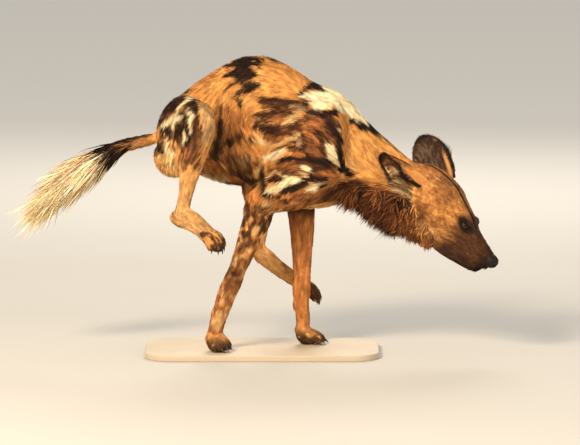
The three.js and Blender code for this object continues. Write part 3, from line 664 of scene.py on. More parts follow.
class Skin:
    """One unbroken skin over all the flesh, set in under the coat, with the fields that the coat grows by."""

    VOXEL = 0.0041
    SMOOTHING = 9
    MOVE = 0.5  # how far one round of smoothing moves a vertex towards its neighbours' mean
    RIM_ROUNDS = 60  # rounds that melt the limbs' edges into the trunk
    FACE_FROM = 62.0  # u from which the face has a finer mesh
    BLEND = 9.0  # how sharply one part's hair gives way to the next part's

    def __init__(self, parts: list[Sweep]) -> None:
        """Keep the bodies that the skin covers.

        Args:
            parts: All swept bodies.
        """
        self.parts = parts
        self.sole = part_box("stand_base")[1].z + 0.0006
        self.object = self.drawn()
        self.smooth(self.SMOOTHING)
        points = self.points
        x, z = points[:, 0], points[:, 2]
        self.smooth(self.RIM_ROUNDS, ease(z, 0.40, 0.46) * ease(x, 0.10, 0.17) * ease(-x, -0.33, -0.26))
        self.settle()
        self.refine(lambda q: q[:, 0] > self.FACE_FROM)
        self.smooth(2, self.local()[:, 0] > self.FACE_FROM)
        self.sculpt()
        eye = np.array(EYE.middle)
        self.refine(lambda q: np.linalg.norm(self.folded(q) - eye, axis=1) < 19)
        self.refine(lambda q: np.linalg.norm(self.folded(q) - eye, axis=1) < 15)
        self.refine(lambda q: self.lip_distance(q) < 6)
        self.carve_face()
        self.lay_hair()

    @staticmethod
    def folded(q: Array) -> Array:
        """Return head points with both sides on the left."""
        return np.stack([q[:, 0], np.abs(q[:, 1]), q[:, 2]], 1)

    def lip_distance(self, q: Array) -> Array:
        """Return the distance of head points from the line of the mouth."""
        q = self.folded(q)
        return np.min([capsule(q, a, b) for a, b in zip(LIP_LINE[:-1], LIP_LINE[1:])], axis=0)

    def drawn(self) -> Object:
        """Return one closed mesh over all the parts."""
        corners, faces, count = [], [], 0
        for part in self.parts:
            v, f = part.mesh()
            corners.append(v)
            faces.append(f + count)
            count += len(v)
        raw = bpy.data.meshes.new("flesh")
        raw.from_pydata(np.concatenate(corners).tolist(), [], np.concatenate(faces).tolist())
        holder = added("flesh", raw)
        remesh = holder.modifiers.new("one_surface", "REMESH")
        remesh.mode = "VOXEL"
        remesh.voxel_size = self.VOXEL
        shown = holder.evaluated_get(bpy.context.evaluated_depsgraph_get())
        mesh = bpy.data.meshes.new_from_object(shown)
        bpy.data.objects.remove(holder)
        return added("skin", mesh)

    @property
    def points(self) -> Array:
        """Return the skin's vertices."""
        found = np.empty(len(self.object.data.vertices) * 3)
        self.object.data.vertices.foreach_get("co", found)
        return found.reshape(-1, 3)

    @points.setter
    def points(self, places: Array) -> None:
        """Move the skin's vertices."""
        self.object.data.vertices.foreach_set("co", places.ravel())
        self.object.data.update()

    @property
    def normals(self) -> Array:
        """Return the outward directions at the skin's vertices."""
        found = np.empty(len(self.object.data.vertices) * 3, np.float32)
        self.object.data.vertex_normals.foreach_get("vector", found)
        return found.reshape(-1, 3).astype(float)

    def local(self) -> Array:
        """Return the skin's vertices in the head's frame."""
        return HEAD.local(self.points)

    def smooth(self, rounds: int, where: Array | None = None) -> None:
        """Move each vertex towards its neighbours' mean.

        Args:
            rounds: How many times.
            where: Which vertices move; all of them by default.
        """
        mesh = self.object.data
        edges = np.empty(len(mesh.edges) * 2, np.int32)
        mesh.edges.foreach_get("vertices", edges)
        a, b = edges.reshape(-1, 2).T
        ends, others = np.concatenate([a, b]), np.concatenate([b, a])
        points = self.points
        count = np.bincount(ends, minlength=len(points))[:, None]
        moves = self.MOVE if where is None else self.MOVE * where[:, None]
        for _ in range(rounds):
            total = np.stack([np.bincount(ends, points[others, k], len(points)) for k in range(3)], 1)
            points = points + moves * (total / np.maximum(count, 1) - points)
        self.points = points

    def settle(self) -> None:
        """Flatten the soles onto the base."""
        points = self.points
        points[:, 2] = np.maximum(points[:, 2], self.sole)
        self.points = points

    def refine(self, chosen: Callable[[Array], Array]) -> None:
        """Halve the mesh where a test on head points holds.

        Args:
            chosen: Takes head points and returns which of them are in the fine area.
        """
        inside = chosen(self.local())
        mesh = bmesh.new()
        mesh.from_mesh(self.object.data)
        mesh.verts.ensure_lookup_table()
        edges = [e for e in mesh.edges if inside[e.verts[0].index] and inside[e.verts[1].index]]
        bmesh.ops.subdivide_edges(mesh, edges=edges, cuts=1, use_grid_fill=True)
        bmesh.ops.triangulate(mesh, faces=[f for f in mesh.faces if len(f.verts) > 4])
        mesh.to_mesh(self.object.data)
        mesh.free()
        self.object.data.update()

    def sculpt(self) -> None:
        """Raise and sink the muscles and bones under the skin."""
        points, normals = self.points, self.normals
        q = self.local()
        body = sum(form.height(points / MM) for form in BODY_RELIEF)
        face = sum(form.height(q) for form in HEAD_RELIEF)
        self.points = points + normals * ((body + face) * MM)[:, None]
        self.settle()

    def carve_face(self) -> None:
        """Cut the almond of each eye, fold the lids and draw the line of the mouth."""
        q = self.local()
        side = np.where(q[:, 1] < 0, -1.0, 1.0)
        f = self.folded(q)
        normals = self.normals @ HEAD.matrix()[:3, :3]
        normals[:, 1] *= side
        near = self.lip_distance(q)
        above = ease(f[:, 2] - np.interp(f[:, 0], LIP_LINE[::-1, 0], LIP_LINE[::-1, 2]), -1, 2)
        lip = -2.6 * np.exp(-((near / 1.5) ** 2)) + 1.3 * above * np.exp(-(((near - 4) / 3) ** 2))
        f = f + normals * (lip * (f[:, 0] < 222))[:, None]
        rel = (f - np.array(EYE.middle)) @ EYE.axes().T
        far = np.linalg.norm(rel, axis=1)
        room = EYE.half_high * np.clip(1 - (rel[:, 0] / EYE.half_wide) ** 2, 0, 1)
        room = np.where(rel[:, 1] < 0, room * 0.8, room)
        outside = np.abs(rel[:, 1]) - room + np.maximum(np.abs(rel[:, 0]) - EYE.half_wide, 0)
        facing = (rel[:, 2] > 0) & (far < 24)
        shell = EYE.radius + EYE.lid
        pull = np.where(facing, 1 - ease(outside, 1.5, 8.0), 0)
        crease = -0.7 * np.exp(-(((outside - 4.2) / 1.0) ** 2)) * (rel[:, 1] > 0)
        fold = crease + 0.5 * np.exp(-(((outside - 1.6) / 1.1) ** 2))
        target = np.where(outside < 0, EYE.radius - 2.5, shell + fold)
        length = far + pull * (target - far)
        rel = rel * (length / np.maximum(far, 1e-6))[:, None]
        f = np.where(facing[:, None], rel @ EYE.axes() + np.array(EYE.middle), f)
        f[:, 1] *= side
        moved = facing | (near < 9)
        self.points = np.where(moved[:, None], HEAD.world(f), self.points)

    def lay_hair(self) -> None:
        """Work out, at each vertex, which way the hair lies and how it grows."""
        points = self.points
        best = np.full(len(points), np.inf)
        found = []
        for part in self.parts:
            middle, along, radius = part.axis()
            apart = np.linalg.norm(points[:, None] - middle[None, ::3], axis=2) / radius[None, ::3]
            pick = apart.argmin(1) * 3
            ratio = apart.min(1)
            best = np.minimum(best, ratio)
            forward = part.name.startswith(("trunk", "skull", "jaw", "orbit"))
            found.append((ratio, -along[pick] if forward else along[pick], part.hair))
        weights = np.stack([np.exp(-self.BLEND * (ratio - best)) for ratio, _, _ in found], 1)
        weights /= weights.sum(1, keepdims=True)
        self.weights = {part.name: weights[:, i] for i, part in enumerate(self.parts)}
        lie = sum(weights[:, i : i + 1] * found[i][1] for i in range(len(found)))
        trunk = self.weights["trunk"][:, None]
        high = ease(points[:, 2:], 0.33, 0.42)
        arm = sum(self.weights[f"{part}_{side}"] for part in ("shoulder", "foreleg") for side in SIDES)[:, None]
        rear = sum(self.weights[f"{part}_left"] for part in ("thigh", "haunch"))[:, None]
        body = np.clip(trunk + arm * high + rear * 0.7, 0, 1)
        near = sum(self.weights[f"{part}_right"] for part in ("thigh", "haunch", "shank"))[:, None]
        lie = lie + body * (BODY_FLOW.way(points) - lie)
        lie = lie + near * (THIGH_FLOW.way(points) - lie)
        normals = self.normals
        self.lie = unit(lie - dots(lie, normals) * normals)
        for name in ("length", "width", "lift", "density"):
            setattr(self, name, sum(weights[:, i] * getattr(found[i][2], name) for i in range(len(found))))


def orbits() -> list[Sweep]:
    """Return the mounds of bone and lid round both eyes."""
    parts: list[Sweep] = []
    for name, side in SIDES.items():
        u, v, w = EYE.middle
        turns = np.linspace(-1.45, 1.45, 9)
        rows = [
            (u - 4 + 24 * math.sin(a), side * (v - 4 - 5 * math.sin(a)), w - 3, 13 * math.cos(a), 15 * math.cos(a))
            for a in turns
        ]
        parts.append(Limb(f"orbit_{name}", rows, Hair(6, 0.9, 10, 60, 0), sides=24, steps=3, place=HEAD.matrix()))
    return parts


# Markings


class Tone(Enum):
    """The colours of the coat, as linear red, green and blue."""

    TAN = (0.64, 0.29, 0.080)
    PALE_TAN = (0.68, 0.42, 0.17)
    ORANGE = (0.43, 0.150, 0.040)
    BROWN = (0.150, 0.055, 0.020)
    DARK_BROWN = (0.048, 0.0185, 0.0090)
    RED_BROWN = (0.078, 0.022, 0.009)
    DARK = (0.020, 0.0095, 0.0065)
    GREY_BROWN = (0.085, 0.055, 0.038)
    ASH = (0.30, 0.19, 0.105)
    MUZZLE = (0.046, 0.019, 0.010)
    CREAM = (0.80, 0.62, 0.36)
    WHITE = (0.93, 0.76, 0.48)

    @property
    def rgb(self) -> Array:
        """Return the colour as an array."""
        return np.array(self.value)


TAN, PALE_TAN, ORANGE, BROWN, DARK_BROWN, RED_BROWN, DARK, GREY_BROWN, ASH, MUZZLE, CREAM, WHITE = Tone


def lay(colours: Array, *layers: tuple[Tone, Array]) -> None:
    """Mix tones into some colours in place.

    Args:
        colours: One colour a row.
        layers: A tone and its share on each row, one layer over the other.
    """
    for tone, share in layers:
        colours += share[:, None] * (tone.rgb - colours)


class Region(Enum):
    """Groups of parts that share their markings, with the starts of their parts' names."""

    TRUNK = ("trunk",)
    ARM_RIGHT = ("shoulder_right", "foreleg_right")
    ARM_LEFT = ("shoulder_left", "foreleg_left")
    THIGH_RIGHT = ("thigh_right", "haunch_right", "shank_right")
    THIGH_LEFT = ("thigh_left", "haunch_left", "shank_left")
    FOOT_RIGHT = ("foot_right",)
    FOOT_LEFT = ("foot_left",)
    TAIL = ("tail",)
    HEAD = ("skull", "jaw", "orbit")
    FOREPAWS = ("forepaw",)
    HINDPAWS = ("hindfoot",)


@dataclass(frozen=True)
class Stroke:
    """One stroke of colour: x, z and radius of each of its points in a row, in millimetres, seen from the right."""

    tone: Tone
    path: tuple[float, ...]
    strength: float = 1.0
    soft: float = 2.5
    ragged: float = 4.0
    broken: float = 0.0
    brindle: float = 0.0

    def cover(self, side: Array, wobble: Array, breaks: Array) -> Array:
        """Return how far the stroke covers each point.

        Args:
            side: Places as x and z in millimetres.
            wobble: Noise about zero that frays the edge.
            breaks: Noise from 0 to 1 that opens gaps in a broken stroke.

        Returns:
            Shares between 0 and the stroke's strength.
        """
        path = np.reshape(self.path, (-1, 3))
        reach = path[:, 2].max() + self.soft + self.ragged * 1.2
        low, high = path[:, :2].min(0) - reach, path[:, :2].max(0) + reach
        near = ((side > low) & (side < high)).all(1)
        result = np.zeros(len(side))
        if not near.any():
            return result
        q = side[near]
        gap = np.full(len(q), np.inf)
        if len(path) == 1:
            gap = np.linalg.norm(q - path[0, :2], axis=1) - path[0, 2]
        for a, b in zip(path[:-1], path[1:]):
            axis = b[:2] - a[:2]
            share = np.clip(((q - a[:2]) @ axis) / max(float(axis @ axis), 1e-6), 0, 1)
            spot = a[:2] + share[:, None] * axis
            gap = np.minimum(gap, np.linalg.norm(q - spot, axis=1) - (a[2] + share * (b[2] - a[2])))
        mask = 1 - ease(gap + self.ragged * wobble[near], -self.soft, self.soft)
        if self.broken:
            mask = mask * ease(breaks[near], self.broken - 0.12, self.broken + 0.12)
        result[near] = mask * self.strength
        return result


FLANK_STROKES = (
    # washes of brindled brown under everything else
    Stroke(ORANGE, (-90, 560, 36, -40, 520, 44, 10, 480, 30), 0.45, 20, 12),
    Stroke(ORANGE, (-76, 576, 24, -34, 562, 28), 0.5, 10, 10, brindle=0.35),
    Stroke(BROWN, (-98, 498, 12, -84, 474, 20, -50, 460, 22, -20, 462, 14), 0.8, 6, 10, brindle=1),
    Stroke(BROWN, (-76, 520, 14, -44, 526, 12, -20, 518, 8), 0.7, 6, 8, 0.3, 0.8),
    Stroke(BROWN, (-100, 604, 12, -92, 566, 20, -74, 532, 26, -50, 560, 14), 0.5, 8, 12, brindle=1),
    Stroke(BROWN, (4, 612, 11, 40, 606, 18, 80, 604, 12, 100, 600, 9), 0.95, 3, 6, brindle=0.5),
    Stroke(BROWN, (-6, 580, 9, 30, 582, 20, 60, 580, 20), 0.9, 3, 8, brindle=0.9),
    Stroke(BROWN, (-6, 552, 12, 30, 546, 20, 84, 556, 16), 0.95, 3, 7, brindle=0.9),
    Stroke(BROWN, (12, 524, 8, 40, 526, 14, 66, 534, 12), 0.85, 4, 6, brindle=1),
    Stroke(BROWN, (110, 580, 14, 150, 574, 18, 172, 556, 16, 178, 528, 12, 184, 500, 5), 1, 3, 5, brindle=0.6),
    Stroke(BROWN, (108, 552, 24, 148, 548, 26, 138, 512, 32, 100, 518, 28), 0.95, 4, 5, brindle=1),
    Stroke(BROWN, (74, 500, 12, 108, 492, 26, 150, 486, 22), 0.97, 3, 5, brindle=0.9),
    Stroke(BROWN, (40, 466, 9, 80, 466, 20, 120, 464, 26, 160, 460, 18), 0.97, 3, 5, brindle=0.7),
    Stroke(BROWN, (22, 448, 12, 60, 444, 16, 100, 444, 16, 140, 440, 15, 160, 448, 9), 0.97, 3, 5, brindle=0.7),
    Stroke(ORANGE, (60, 396, 26, 140, 394, 28, 210, 412, 22, 262, 398, 24, 330, 360, 24), 0.75, 10, 8, brindle=0.3),
    Stroke(BROWN, (150, 402, 8, 185, 398, 15, 220, 408, 20), 0.75, 5, 8, brindle=1),
    Stroke(BROWN, (84, 390, 10, 130, 382, 13, 182, 388, 14), 0.75, 5, 8, brindle=1),
    # black on the back, and painted shade along its ridge
    Stroke(DARK, (-88, 703, 4, -60, 706, 7, -35, 711, 7, -5, 709, 6), ragged=5),
    Stroke(DARK, (-90, 692, 4, -60, 696, 8, -30, 702, 10, -6, 698, 6), 1, 2.5, 5, 0.06),
    Stroke(DARK, (-100, 668, 3, -80, 676, 8, -55, 684, 11, -33, 690, 12), 1, 2.5, 5, 0.14),
    Stroke(DARK, (-64, 668, 6, -40, 674, 10, -22, 678, 8), 1, 2.5, 5, 0.1),
    Stroke(DARK, (-90, 638, 2, -72, 654, 4, -50, 664, 5), 0.9, 2, 4, 0.25),
    Stroke(DARK, (-52, 654, 6, -30, 654, 10, -7, 651, 5), 0.97, 2.5, 5, 0.15),
    Stroke(DARK, (-62, 628, 5, -45, 637, 8, -26, 642, 7), 0.97, 2.5, 5, 0.2),
    Stroke(DARK, (-68, 618, 3, -56, 616, 6, -50, 600, 3), 0.95, 2.5, 4, 0.2),
    # painted shade: a thin dark line along the top edge of the back, where it turns away from the light
    Stroke(
        DARK, (-70, 724, 2, -20, 729, 3, 0, 725, 6, 20, 717, 7, 42, 708, 7, 62, 703, 5, 82, 695, 4, 112, 675, 3), 1, 2,
        2,
    ),
    Stroke(DARK, (0, 721, 3, 30, 709, 5, 56, 698, 2), 0.9, 2.5, 3, 0.2),
    Stroke(DARK, (-158, 672, 2, -148, 678, 4, -136, 684, 2), 1, 2, 3),
    Stroke(BROWN, (-142, 656, 5, -130, 660, 4), 0.6, 4, 5, 0.3),
    Stroke(DARK, (-218, 614, 6, -198, 628, 8, -176, 634, 6), 0.97, 2.5, 4, 0.15),
    # dark streaks on the ribs
    Stroke(DARK_BROWN, (2, 617, 6, 25, 613, 11, 50, 607, 11, 72, 602, 6), 0.9, 3, 6, 0.12),
    Stroke(DARK_BROWN, (70, 610, 3, 86, 614, 5, 104, 620, 4), 0.85, 2.5, 4, 0.15),
    Stroke(DARK, (-18, 580, 3, 2, 584, 5, 28, 590, 5, 52, 594, 4), 0.85, 2.5, 5, 0.2),
    Stroke(DARK, (-15, 567, 4, 0, 570, 8, 12, 566, 5), 0.9, 2.5, 5, 0.15),
    Stroke(DARK, (-17, 553, 4, 2, 552, 9, 22, 549, 10, 44, 546, 6), 0.9, 3, 5, 0.12),
    Stroke(DARK_BROWN, (42, 554, 4, 62, 551, 5, 86, 562, 4, 98, 570, 4), 0.9, 2.5, 4, 0.15),
    Stroke(DARK_BROWN, (10, 536, 4, 40, 537, 5, 68, 546, 3), 0.85, 2.5, 4, 0.2),
    Stroke(DARK, (22, 495, 2, 34, 500, 3, 52, 509, 4, 74, 520, 3, 86, 528, 2), 0.95, 2, 2),
    # dark streaks on the shoulder
    Stroke(DARK, (98, 606, 5, 112, 612, 7, 122, 604, 4), 0.95, 2.5, 5, 0.15),
    Stroke(DARK, (102, 588, 5, 128, 586, 8, 154, 587, 10, 176, 590, 9), 1, 2.5, 5, 0.05),
    Stroke(DARK, (150, 576, 9, 166, 562, 11, 176, 540, 10, 184, 520, 7), 0.92, 2.5, 6, 0.15),
    Stroke(DARK, (132, 542, 4, 140, 520, 9, 146, 503, 7), 0.8, 3, 6, 0.25),
    Stroke(DARK, (92, 546, 4, 98, 530, 8, 102, 510, 6), 0.8, 3, 6, 0.25),
    Stroke(DARK, (62, 506, 5, 80, 500, 7, 104, 492, 6), 0.75, 3, 5, 0.3),
    Stroke(DARK, (44, 474, 6, 74, 481, 8, 110, 480, 9, 150, 477, 9, 166, 470, 6), 0.97, 3, 4, 0.05),
    Stroke(DARK, (20, 458, 8, 36, 448, 7), 0.8, 3, 5, 0.2),
    Stroke(DARK, (118, 456, 7, 134, 462, 6, 158, 458, 6), 0.8, 3, 5, 0.2),
    Stroke(DARK, (96, 434, 5, 112, 436, 8, 134, 431, 9, 152, 434, 7)),
    Stroke(DARK, (180, 528, 5, 186, 500, 8, 180, 478, 7, 192, 456, 11, 210, 438, 10), 1, 3, 5),
    # dark patches of the flank and belly, and painted shadow under the belly
    Stroke(DARK, (-102, 512, 7, -82, 515, 8, -68, 506, 6), 0.85, 3, 6, 0.2),
    Stroke(DARK, (-60, 523, 4, -42, 529, 8, -24, 523, 7), 0.85, 3, 5, 0.2),
    Stroke(DARK, (-97, 598, 3, -98, 586, 5, -99, 574, 2, -97, 560, 4), 0.85, 2.5, 3, 0.15),
    Stroke(DARK, (-80, 440, 8, -50, 436, 8, -20, 440, 7), 0.8, 4, 5, 0.2),
    # painted shadow in the gap under the belly, between the elbow and the flank
    Stroke(DARK, (-92, 434, 6, -60, 422, 11, -22, 418, 12), 0.97, 4),
    # painted shadow cast by the near thigh onto the flank before it
    Stroke(DARK, (-98, 572, 4, -102, 532, 9, -110, 492, 12, -122, 450, 15), 0.92, 4),
    # lighter streaks
    Stroke(ORANGE, (14, 575, 3, 34, 571, 5, 50, 576, 3), 0.8, 2.5, 5, 0.25),
    Stroke(PALE_TAN, (48, 561, 3, 62, 570, 7, 78, 581, 8, 88, 591, 5), 0.95, 3, 5),
    Stroke(ASH, (64, 600, 2, 80, 602, 5, 96, 597, 6), 0.7, 3, 5, 0.2),
    Stroke(ORANGE, (10, 530, 4, 35, 527, 5, 56, 531, 4), 0.8, 2.5, 5, 0.25),
    Stroke(PALE_TAN, (24, 508, 3, 45, 515, 4, 66, 526, 5, 87, 538, 4), 0.97, 2.5, 3),
    Stroke(PALE_TAN, (-18, 537, 2, -2, 522, 4, 22, 509, 3), 0.85, 2, 3, 0.1),
    Stroke(PALE_TAN, (-20, 522, 2, 0, 514, 3, 24, 506, 2), 0.8, 2, 3, 0.15),
    Stroke(TAN, (-14, 505, 3, 10, 498, 4), 0.7, 2.5, 4, 0.25),
    Stroke(ASH, (84, 532, 6, 88, 516, 6), 0.65, 3, 5, 0.25),
    Stroke(ORANGE, (102, 566, 3, 122, 567, 5, 142, 560, 4), 0.7, 3, 5, 0.3),
    Stroke(ORANGE, (100, 546, 3, 118, 534, 5, 128, 522, 4), 0.75, 3, 5, 0.35),
    Stroke(ORANGE, (76, 490, 5, 92, 488, 6), 0.8, 3, 4, 0.1),
    Stroke(ORANGE, (110, 504, 3, 124, 492, 4), 0.6, 3, 5, 0.3),
    Stroke(ORANGE, (50, 461, 5, 76, 458, 6), 0.5, 3, 5, 0.3),
    Stroke(ORANGE, (128, 450, 3, 146, 448, 5, 162, 442, 6, 168, 434, 5), 0.85, 3, 4, 0.1),
    Stroke(ORANGE, (-84, 490, 5, -66, 486, 5), 0.8, 3, 5, 0.1),
    Stroke(ASH, (-56, 470, 7, -42, 462, 9, -38, 476, 5), 0.6, 4, 6, 0.25),
    Stroke(CREAM, (2, 465, 2, 8, 477, 6, 22, 484, 9, 38, 488, 9, 50, 500, 6), 1, 2, 3),
    # pale patches and dark spots of the shoulder and upper arm
    Stroke(CREAM, (152, 517, 4, 161, 504, 11, 165, 489, 10, 173, 477, 6, 184, 465, 2), 1, 2),
    Stroke(CREAM, (93, 462, 4, 103, 460, 6, 112, 455, 5), 1, 2, 2),
    Stroke(PALE_TAN, (93, 447, 3, 104, 440, 3), 0.95, 2, 2),
    Stroke(DARK, (2, 458, 6, 0, 436, 7, 2, 412, 9, 6, 392, 7), 0.97, 2.5, 3, 0.06),
    Stroke(PALE_TAN, (0, 462, 3, -9, 448, 4, -16, 434, 4), 0.8, 2.5, 2),
    Stroke(PALE_TAN, (13, 424, 3, 16, 438, 4, 30, 447, 3, 44, 440, 3), 0.9, 2, 2),
    Stroke(DARK_BROWN, (18, 427, 5, 30, 431, 9, 43, 432, 5), 1, 2, 2),
    Stroke(CREAM, (52, 436, 2, 70, 431, 7, 88, 431, 5), 1, 2, 2),
    Stroke(CREAM, (16, 403, 7, 32, 408, 9, 48, 418, 7, 64, 425, 8, 82, 424, 6), 1, 2, 3),
    Stroke(DARK, (48, 401, 7, 68, 407, 10, 88, 415, 9, 108, 423, 5), 1, 2, 3),
    Stroke(CREAM, (108, 409, 6, 124, 413, 9, 136, 421, 4), 0.9, 2.5, 3),
    Stroke(DARK, (135, 413, 3, 152, 420, 3), 1, 2, 2),
    Stroke(DARK_BROWN, (146, 378, 5, 162, 386, 8, 184, 385, 5), 0.9, 3, 4, 0.15),
    Stroke(DARK, (12, 390, 5, 34, 389, 7, 60, 378, 7), 0.97, 2.5, 3, 0.1),
    Stroke(PALE_TAN, (5, 376, 6, 16, 371, 6), 0.9, 2.5, 3),
    Stroke(TAN, (48, 389, 3, 60, 386, 2), 0.9, 2, 2),
    # the dark streak down the nape
    Stroke(DARK, (214, 566, 9, 240, 556, 13, 268, 543, 11, 294, 527, 8, 330, 500, 4, 372, 462, 3), 1, 3, 5),
    # the pale saddle
    Stroke(
        WHITE, (111, 677, 3, 124, 669, 5, 142, 655, 9, 160, 641, 14, 180, 623, 20, 202, 605, 22, 228, 584, 16, 252, 562,
        7),
    ),
    Stroke(WHITE, (86, 628, 3, 106, 628, 7, 128, 624, 13, 152, 618, 20), ragged=3),
    Stroke(CREAM, (118, 610, 6, 134, 604, 9, 156, 606, 9), ragged=5),
    Stroke(CREAM, (170, 576, 2, 180, 562, 4, 190, 548, 2), 0.95, 2.5, 5, 0.2),
    Stroke(DARK, (84, 629, 3, 98, 640, 6, 114, 648, 8, 130, 646, 7, 146, 636, 3), ragged=3),
)
THIGH_STROKES = (
    Stroke(BROWN, (-232, 560, 20, -200, 590, 30, -170, 580, 26, -180, 530, 26, -160, 490, 16), 0.8, 6, 8, brindle=1),
    Stroke(BROWN, (-150, 560, 12, -150, 530, 16, -165, 500, 20, -180, 480, 14), 0.7, 5, 8, brindle=1),
    Stroke(BROWN, (-235, 520, 14, -222, 500, 14), 0.8, 5, 6, brindle=0.8),
    Stroke(DARK_BROWN, (-214, 622, 14, -196, 612, 22, -176, 600, 26, -165, 580, 22), 0.95, 4, 5, brindle=0.4),
    Stroke(
        DARK_BROWN, (-240, 566, 12, -222, 556, 22, -200, 556, 24, -178, 560, 20, -180, 535, 16), 0.92, 4, 6,
        brindle=0.7,
    ),
    Stroke(PALE_TAN, (-136, 612, 9, -126, 588, 11, -122, 560, 11, -130, 530, 8), 0.75, 5, 5),
    Stroke(ASH, (-132, 600, 8, -126, 572, 9, -128, 545, 8), 0.6, 4, 6, 0.35),
    Stroke(GREY_BROWN, (-144, 628, 9, -128, 614, 7), 0.55, 6, 5, 0.2),
    Stroke(DARK, (-218, 630, 3, -202, 637, 5, -186, 645, 5, -176, 646, 3), ragged=3),
    Stroke(DARK_BROWN, (-216, 618, 7, -198, 622, 8, -180, 632, 4), 0.97, 2.5, 4, 0.12),
    Stroke(DARK, (-236, 582, 7, -224, 600, 10, -208, 609, 10, -194, 604, 7), 0.97, 2.5, 5, 0.16),
    Stroke(DARK, (-246, 584, 4, -240, 566, 5, -246, 552, 3), 0.95, 2.5, 3),
    Stroke(DARK, (-199, 608, 3, -186, 618, 4, -176, 620, 4, -176, 608, 3, -188, 594, 4, -194, 588, 4), 1, 2, 2),
    Stroke(TAN, (-189, 602, 3, -183, 608, 3), 0.95, 1.5, 1),
    Stroke(DARK, (-165, 630, 6, -160, 617, 9, -158, 606, 7), 0.97, 2.5, 3),
    Stroke(DARK, (-202, 572, 7, -186, 565, 10, -180, 552, 10, -197, 550, 9), 0.95, 2.5, 4, 0.2),
    Stroke(DARK, (-177, 596, 4, -175, 580, 5, -173, 565, 6, -166, 548, 7, -170, 534, 5), 0.95, 2.5, 4, 0.2),
    Stroke(DARK, (-228, 558, 5, -220, 545, 9, -213, 534, 8, -204, 545, 7), 0.97, 2.5, 4, 0.2),
    Stroke(DARK, (-238, 551, 3, -234, 536, 5, -229, 524, 3), 0.95, 2, 3, 0.1),
    Stroke(DARK_BROWN, (-150, 582, 8, -149, 566, 8, -154, 550, 9), 0.8, 3, 6, 0.42),
    Stroke(DARK_BROWN, (-198, 532, 7, -190, 522, 9, -176, 520, 8), 0.85, 3, 6, 0.4),
    Stroke(TAN, (-248, 550, 5, -250, 525, 6), 0.9, 3, 3, 0.1),
    Stroke(DARK, (-248, 511, 6, -240, 503, 9, -229, 504, 6), 0.97, 2.5, 3),
    Stroke(DARK, (-258, 527, 3, -260, 511, 4, -251, 490, 5), 0.97, 2.5, 2),
    Stroke(DARK, (-209, 516, 3, -203, 503, 4), 0.9, 2, 3, 0.1),
    Stroke(PALE_TAN, (-238, 484, 11, -218, 474, 12), 0.85, 4),
    Stroke(DARK_BROWN, (-207, 488, 5, -212, 474, 5, -226, 470, 5), 0.7, 3, 5, 0.4),
    Stroke(BROWN, (-176, 515, 4, -164, 524, 6, -150, 505, 6), 0.7, 3, 5, 0.38),
    Stroke(DARK_BROWN, (-166, 480, 6, -152, 476, 8, -157, 464, 6), 0.8, 3, 4, 0.3),
    Stroke(CREAM, (-236, 557, 4, -222, 566, 7, -208, 578, 9, -193, 583, 7, -185, 590, 3), 1, 1.5, 2),
    Stroke(CREAM, (-201, 590, 4, -197, 604, 4, -186, 617, 3, -172, 627, 4, -158, 636, 2), 1, 1.5, 2),
    Stroke(CREAM, (-212, 566, 4, -211, 552, 3), 1, 1.5, 2),
    Stroke(CREAM, (-174, 606, 3, -172, 596, 4, -161, 593, 6, -168, 580, 5, -169, 571, 3), 1, 1.5, 2),
    Stroke(CREAM, (-166, 564, 3, -166, 553, 3), 0.85, 1.5, 2),
    Stroke(CREAM, (-183, 552, 3, -180, 540, 5, -187, 527, 3), 0.95, 1.5, 3),
    Stroke(CREAM, (-229, 526, 2, -225, 514, 4, -220, 504, 6, -213, 498, 7, -224, 496, 4), 0.97, 2, 3),
)
FORELEG_STROKES = (
    Stroke(DARK_BROWN, (-36, 376, 4, -31, 346, 5, -42, 318, 4), 0.85, 2.5, 4, 0.15),
    Stroke(DARK_BROWN, (-19, 366, 3, 9, 363, 5, 34, 360, 4), 0.8, 2.5, 4, 0.2),
    Stroke(DARK_BROWN, (-25, 346, 3, -2, 352, 5, 22, 346, 4), 0.75, 2.5, 4, 0.25),
    Stroke(PALE_TAN, (2, 374, 6, 10, 372, 5), 0.8, 2, 3),
    Stroke(DARK_BROWN, (-19, 328, 4, 0, 322, 4), 0.7, 2.5, 4, 0.25),
    Stroke(PALE_TAN, (-12, 314, 7, -20, 304, 5), 0.7, 3),
    Stroke(DARK_BROWN, (-47, 303, 5, -39, 286, 6, -52, 258, 7), 0.75, 3, 4, 0.22),
    Stroke(PALE_TAN, (-62, 240, 5, -66, 228, 6), 0.9, 2.5, 3),
    Stroke(DARK_BROWN, (-68, 204, 7, -62, 200, 5), 0.85, 2.5, 3, 0.1),
    Stroke(BROWN, (-74, 180, 14, -86, 150, 15, -96, 122, 12), 0.75, 3, 5, 0.5),
    Stroke(PALE_TAN, (-100, 100, 12, -108, 80, 12), 0.6, 5, 5, 0.2),
)


@dataclass(frozen=True)
class Flow:
    """Which way the hair runs at some places seen from the side: x, z and the way in x and z."""

    guides: tuple[tuple[float, float, float, float], ...]
    reach: float = 30.0

    def way(self, points: Array) -> Array:
        """Return the hair's direction at each point, before it is laid into the skin."""
        table = np.array(self.guides)
        apart = ((points[:, None, [0, 2]] / MM - table[None, :, :2]) ** 2).sum(2)
        weight = np.exp(-apart / self.reach**2 / 2 + apart.min(1, keepdims=True) / self.reach**2 / 2)
        flat = weight @ unit(table[:, 2:])
        return unit(np.stack([flat[:, 0], 0 * flat[:, 0], flat[:, 1]], 1))


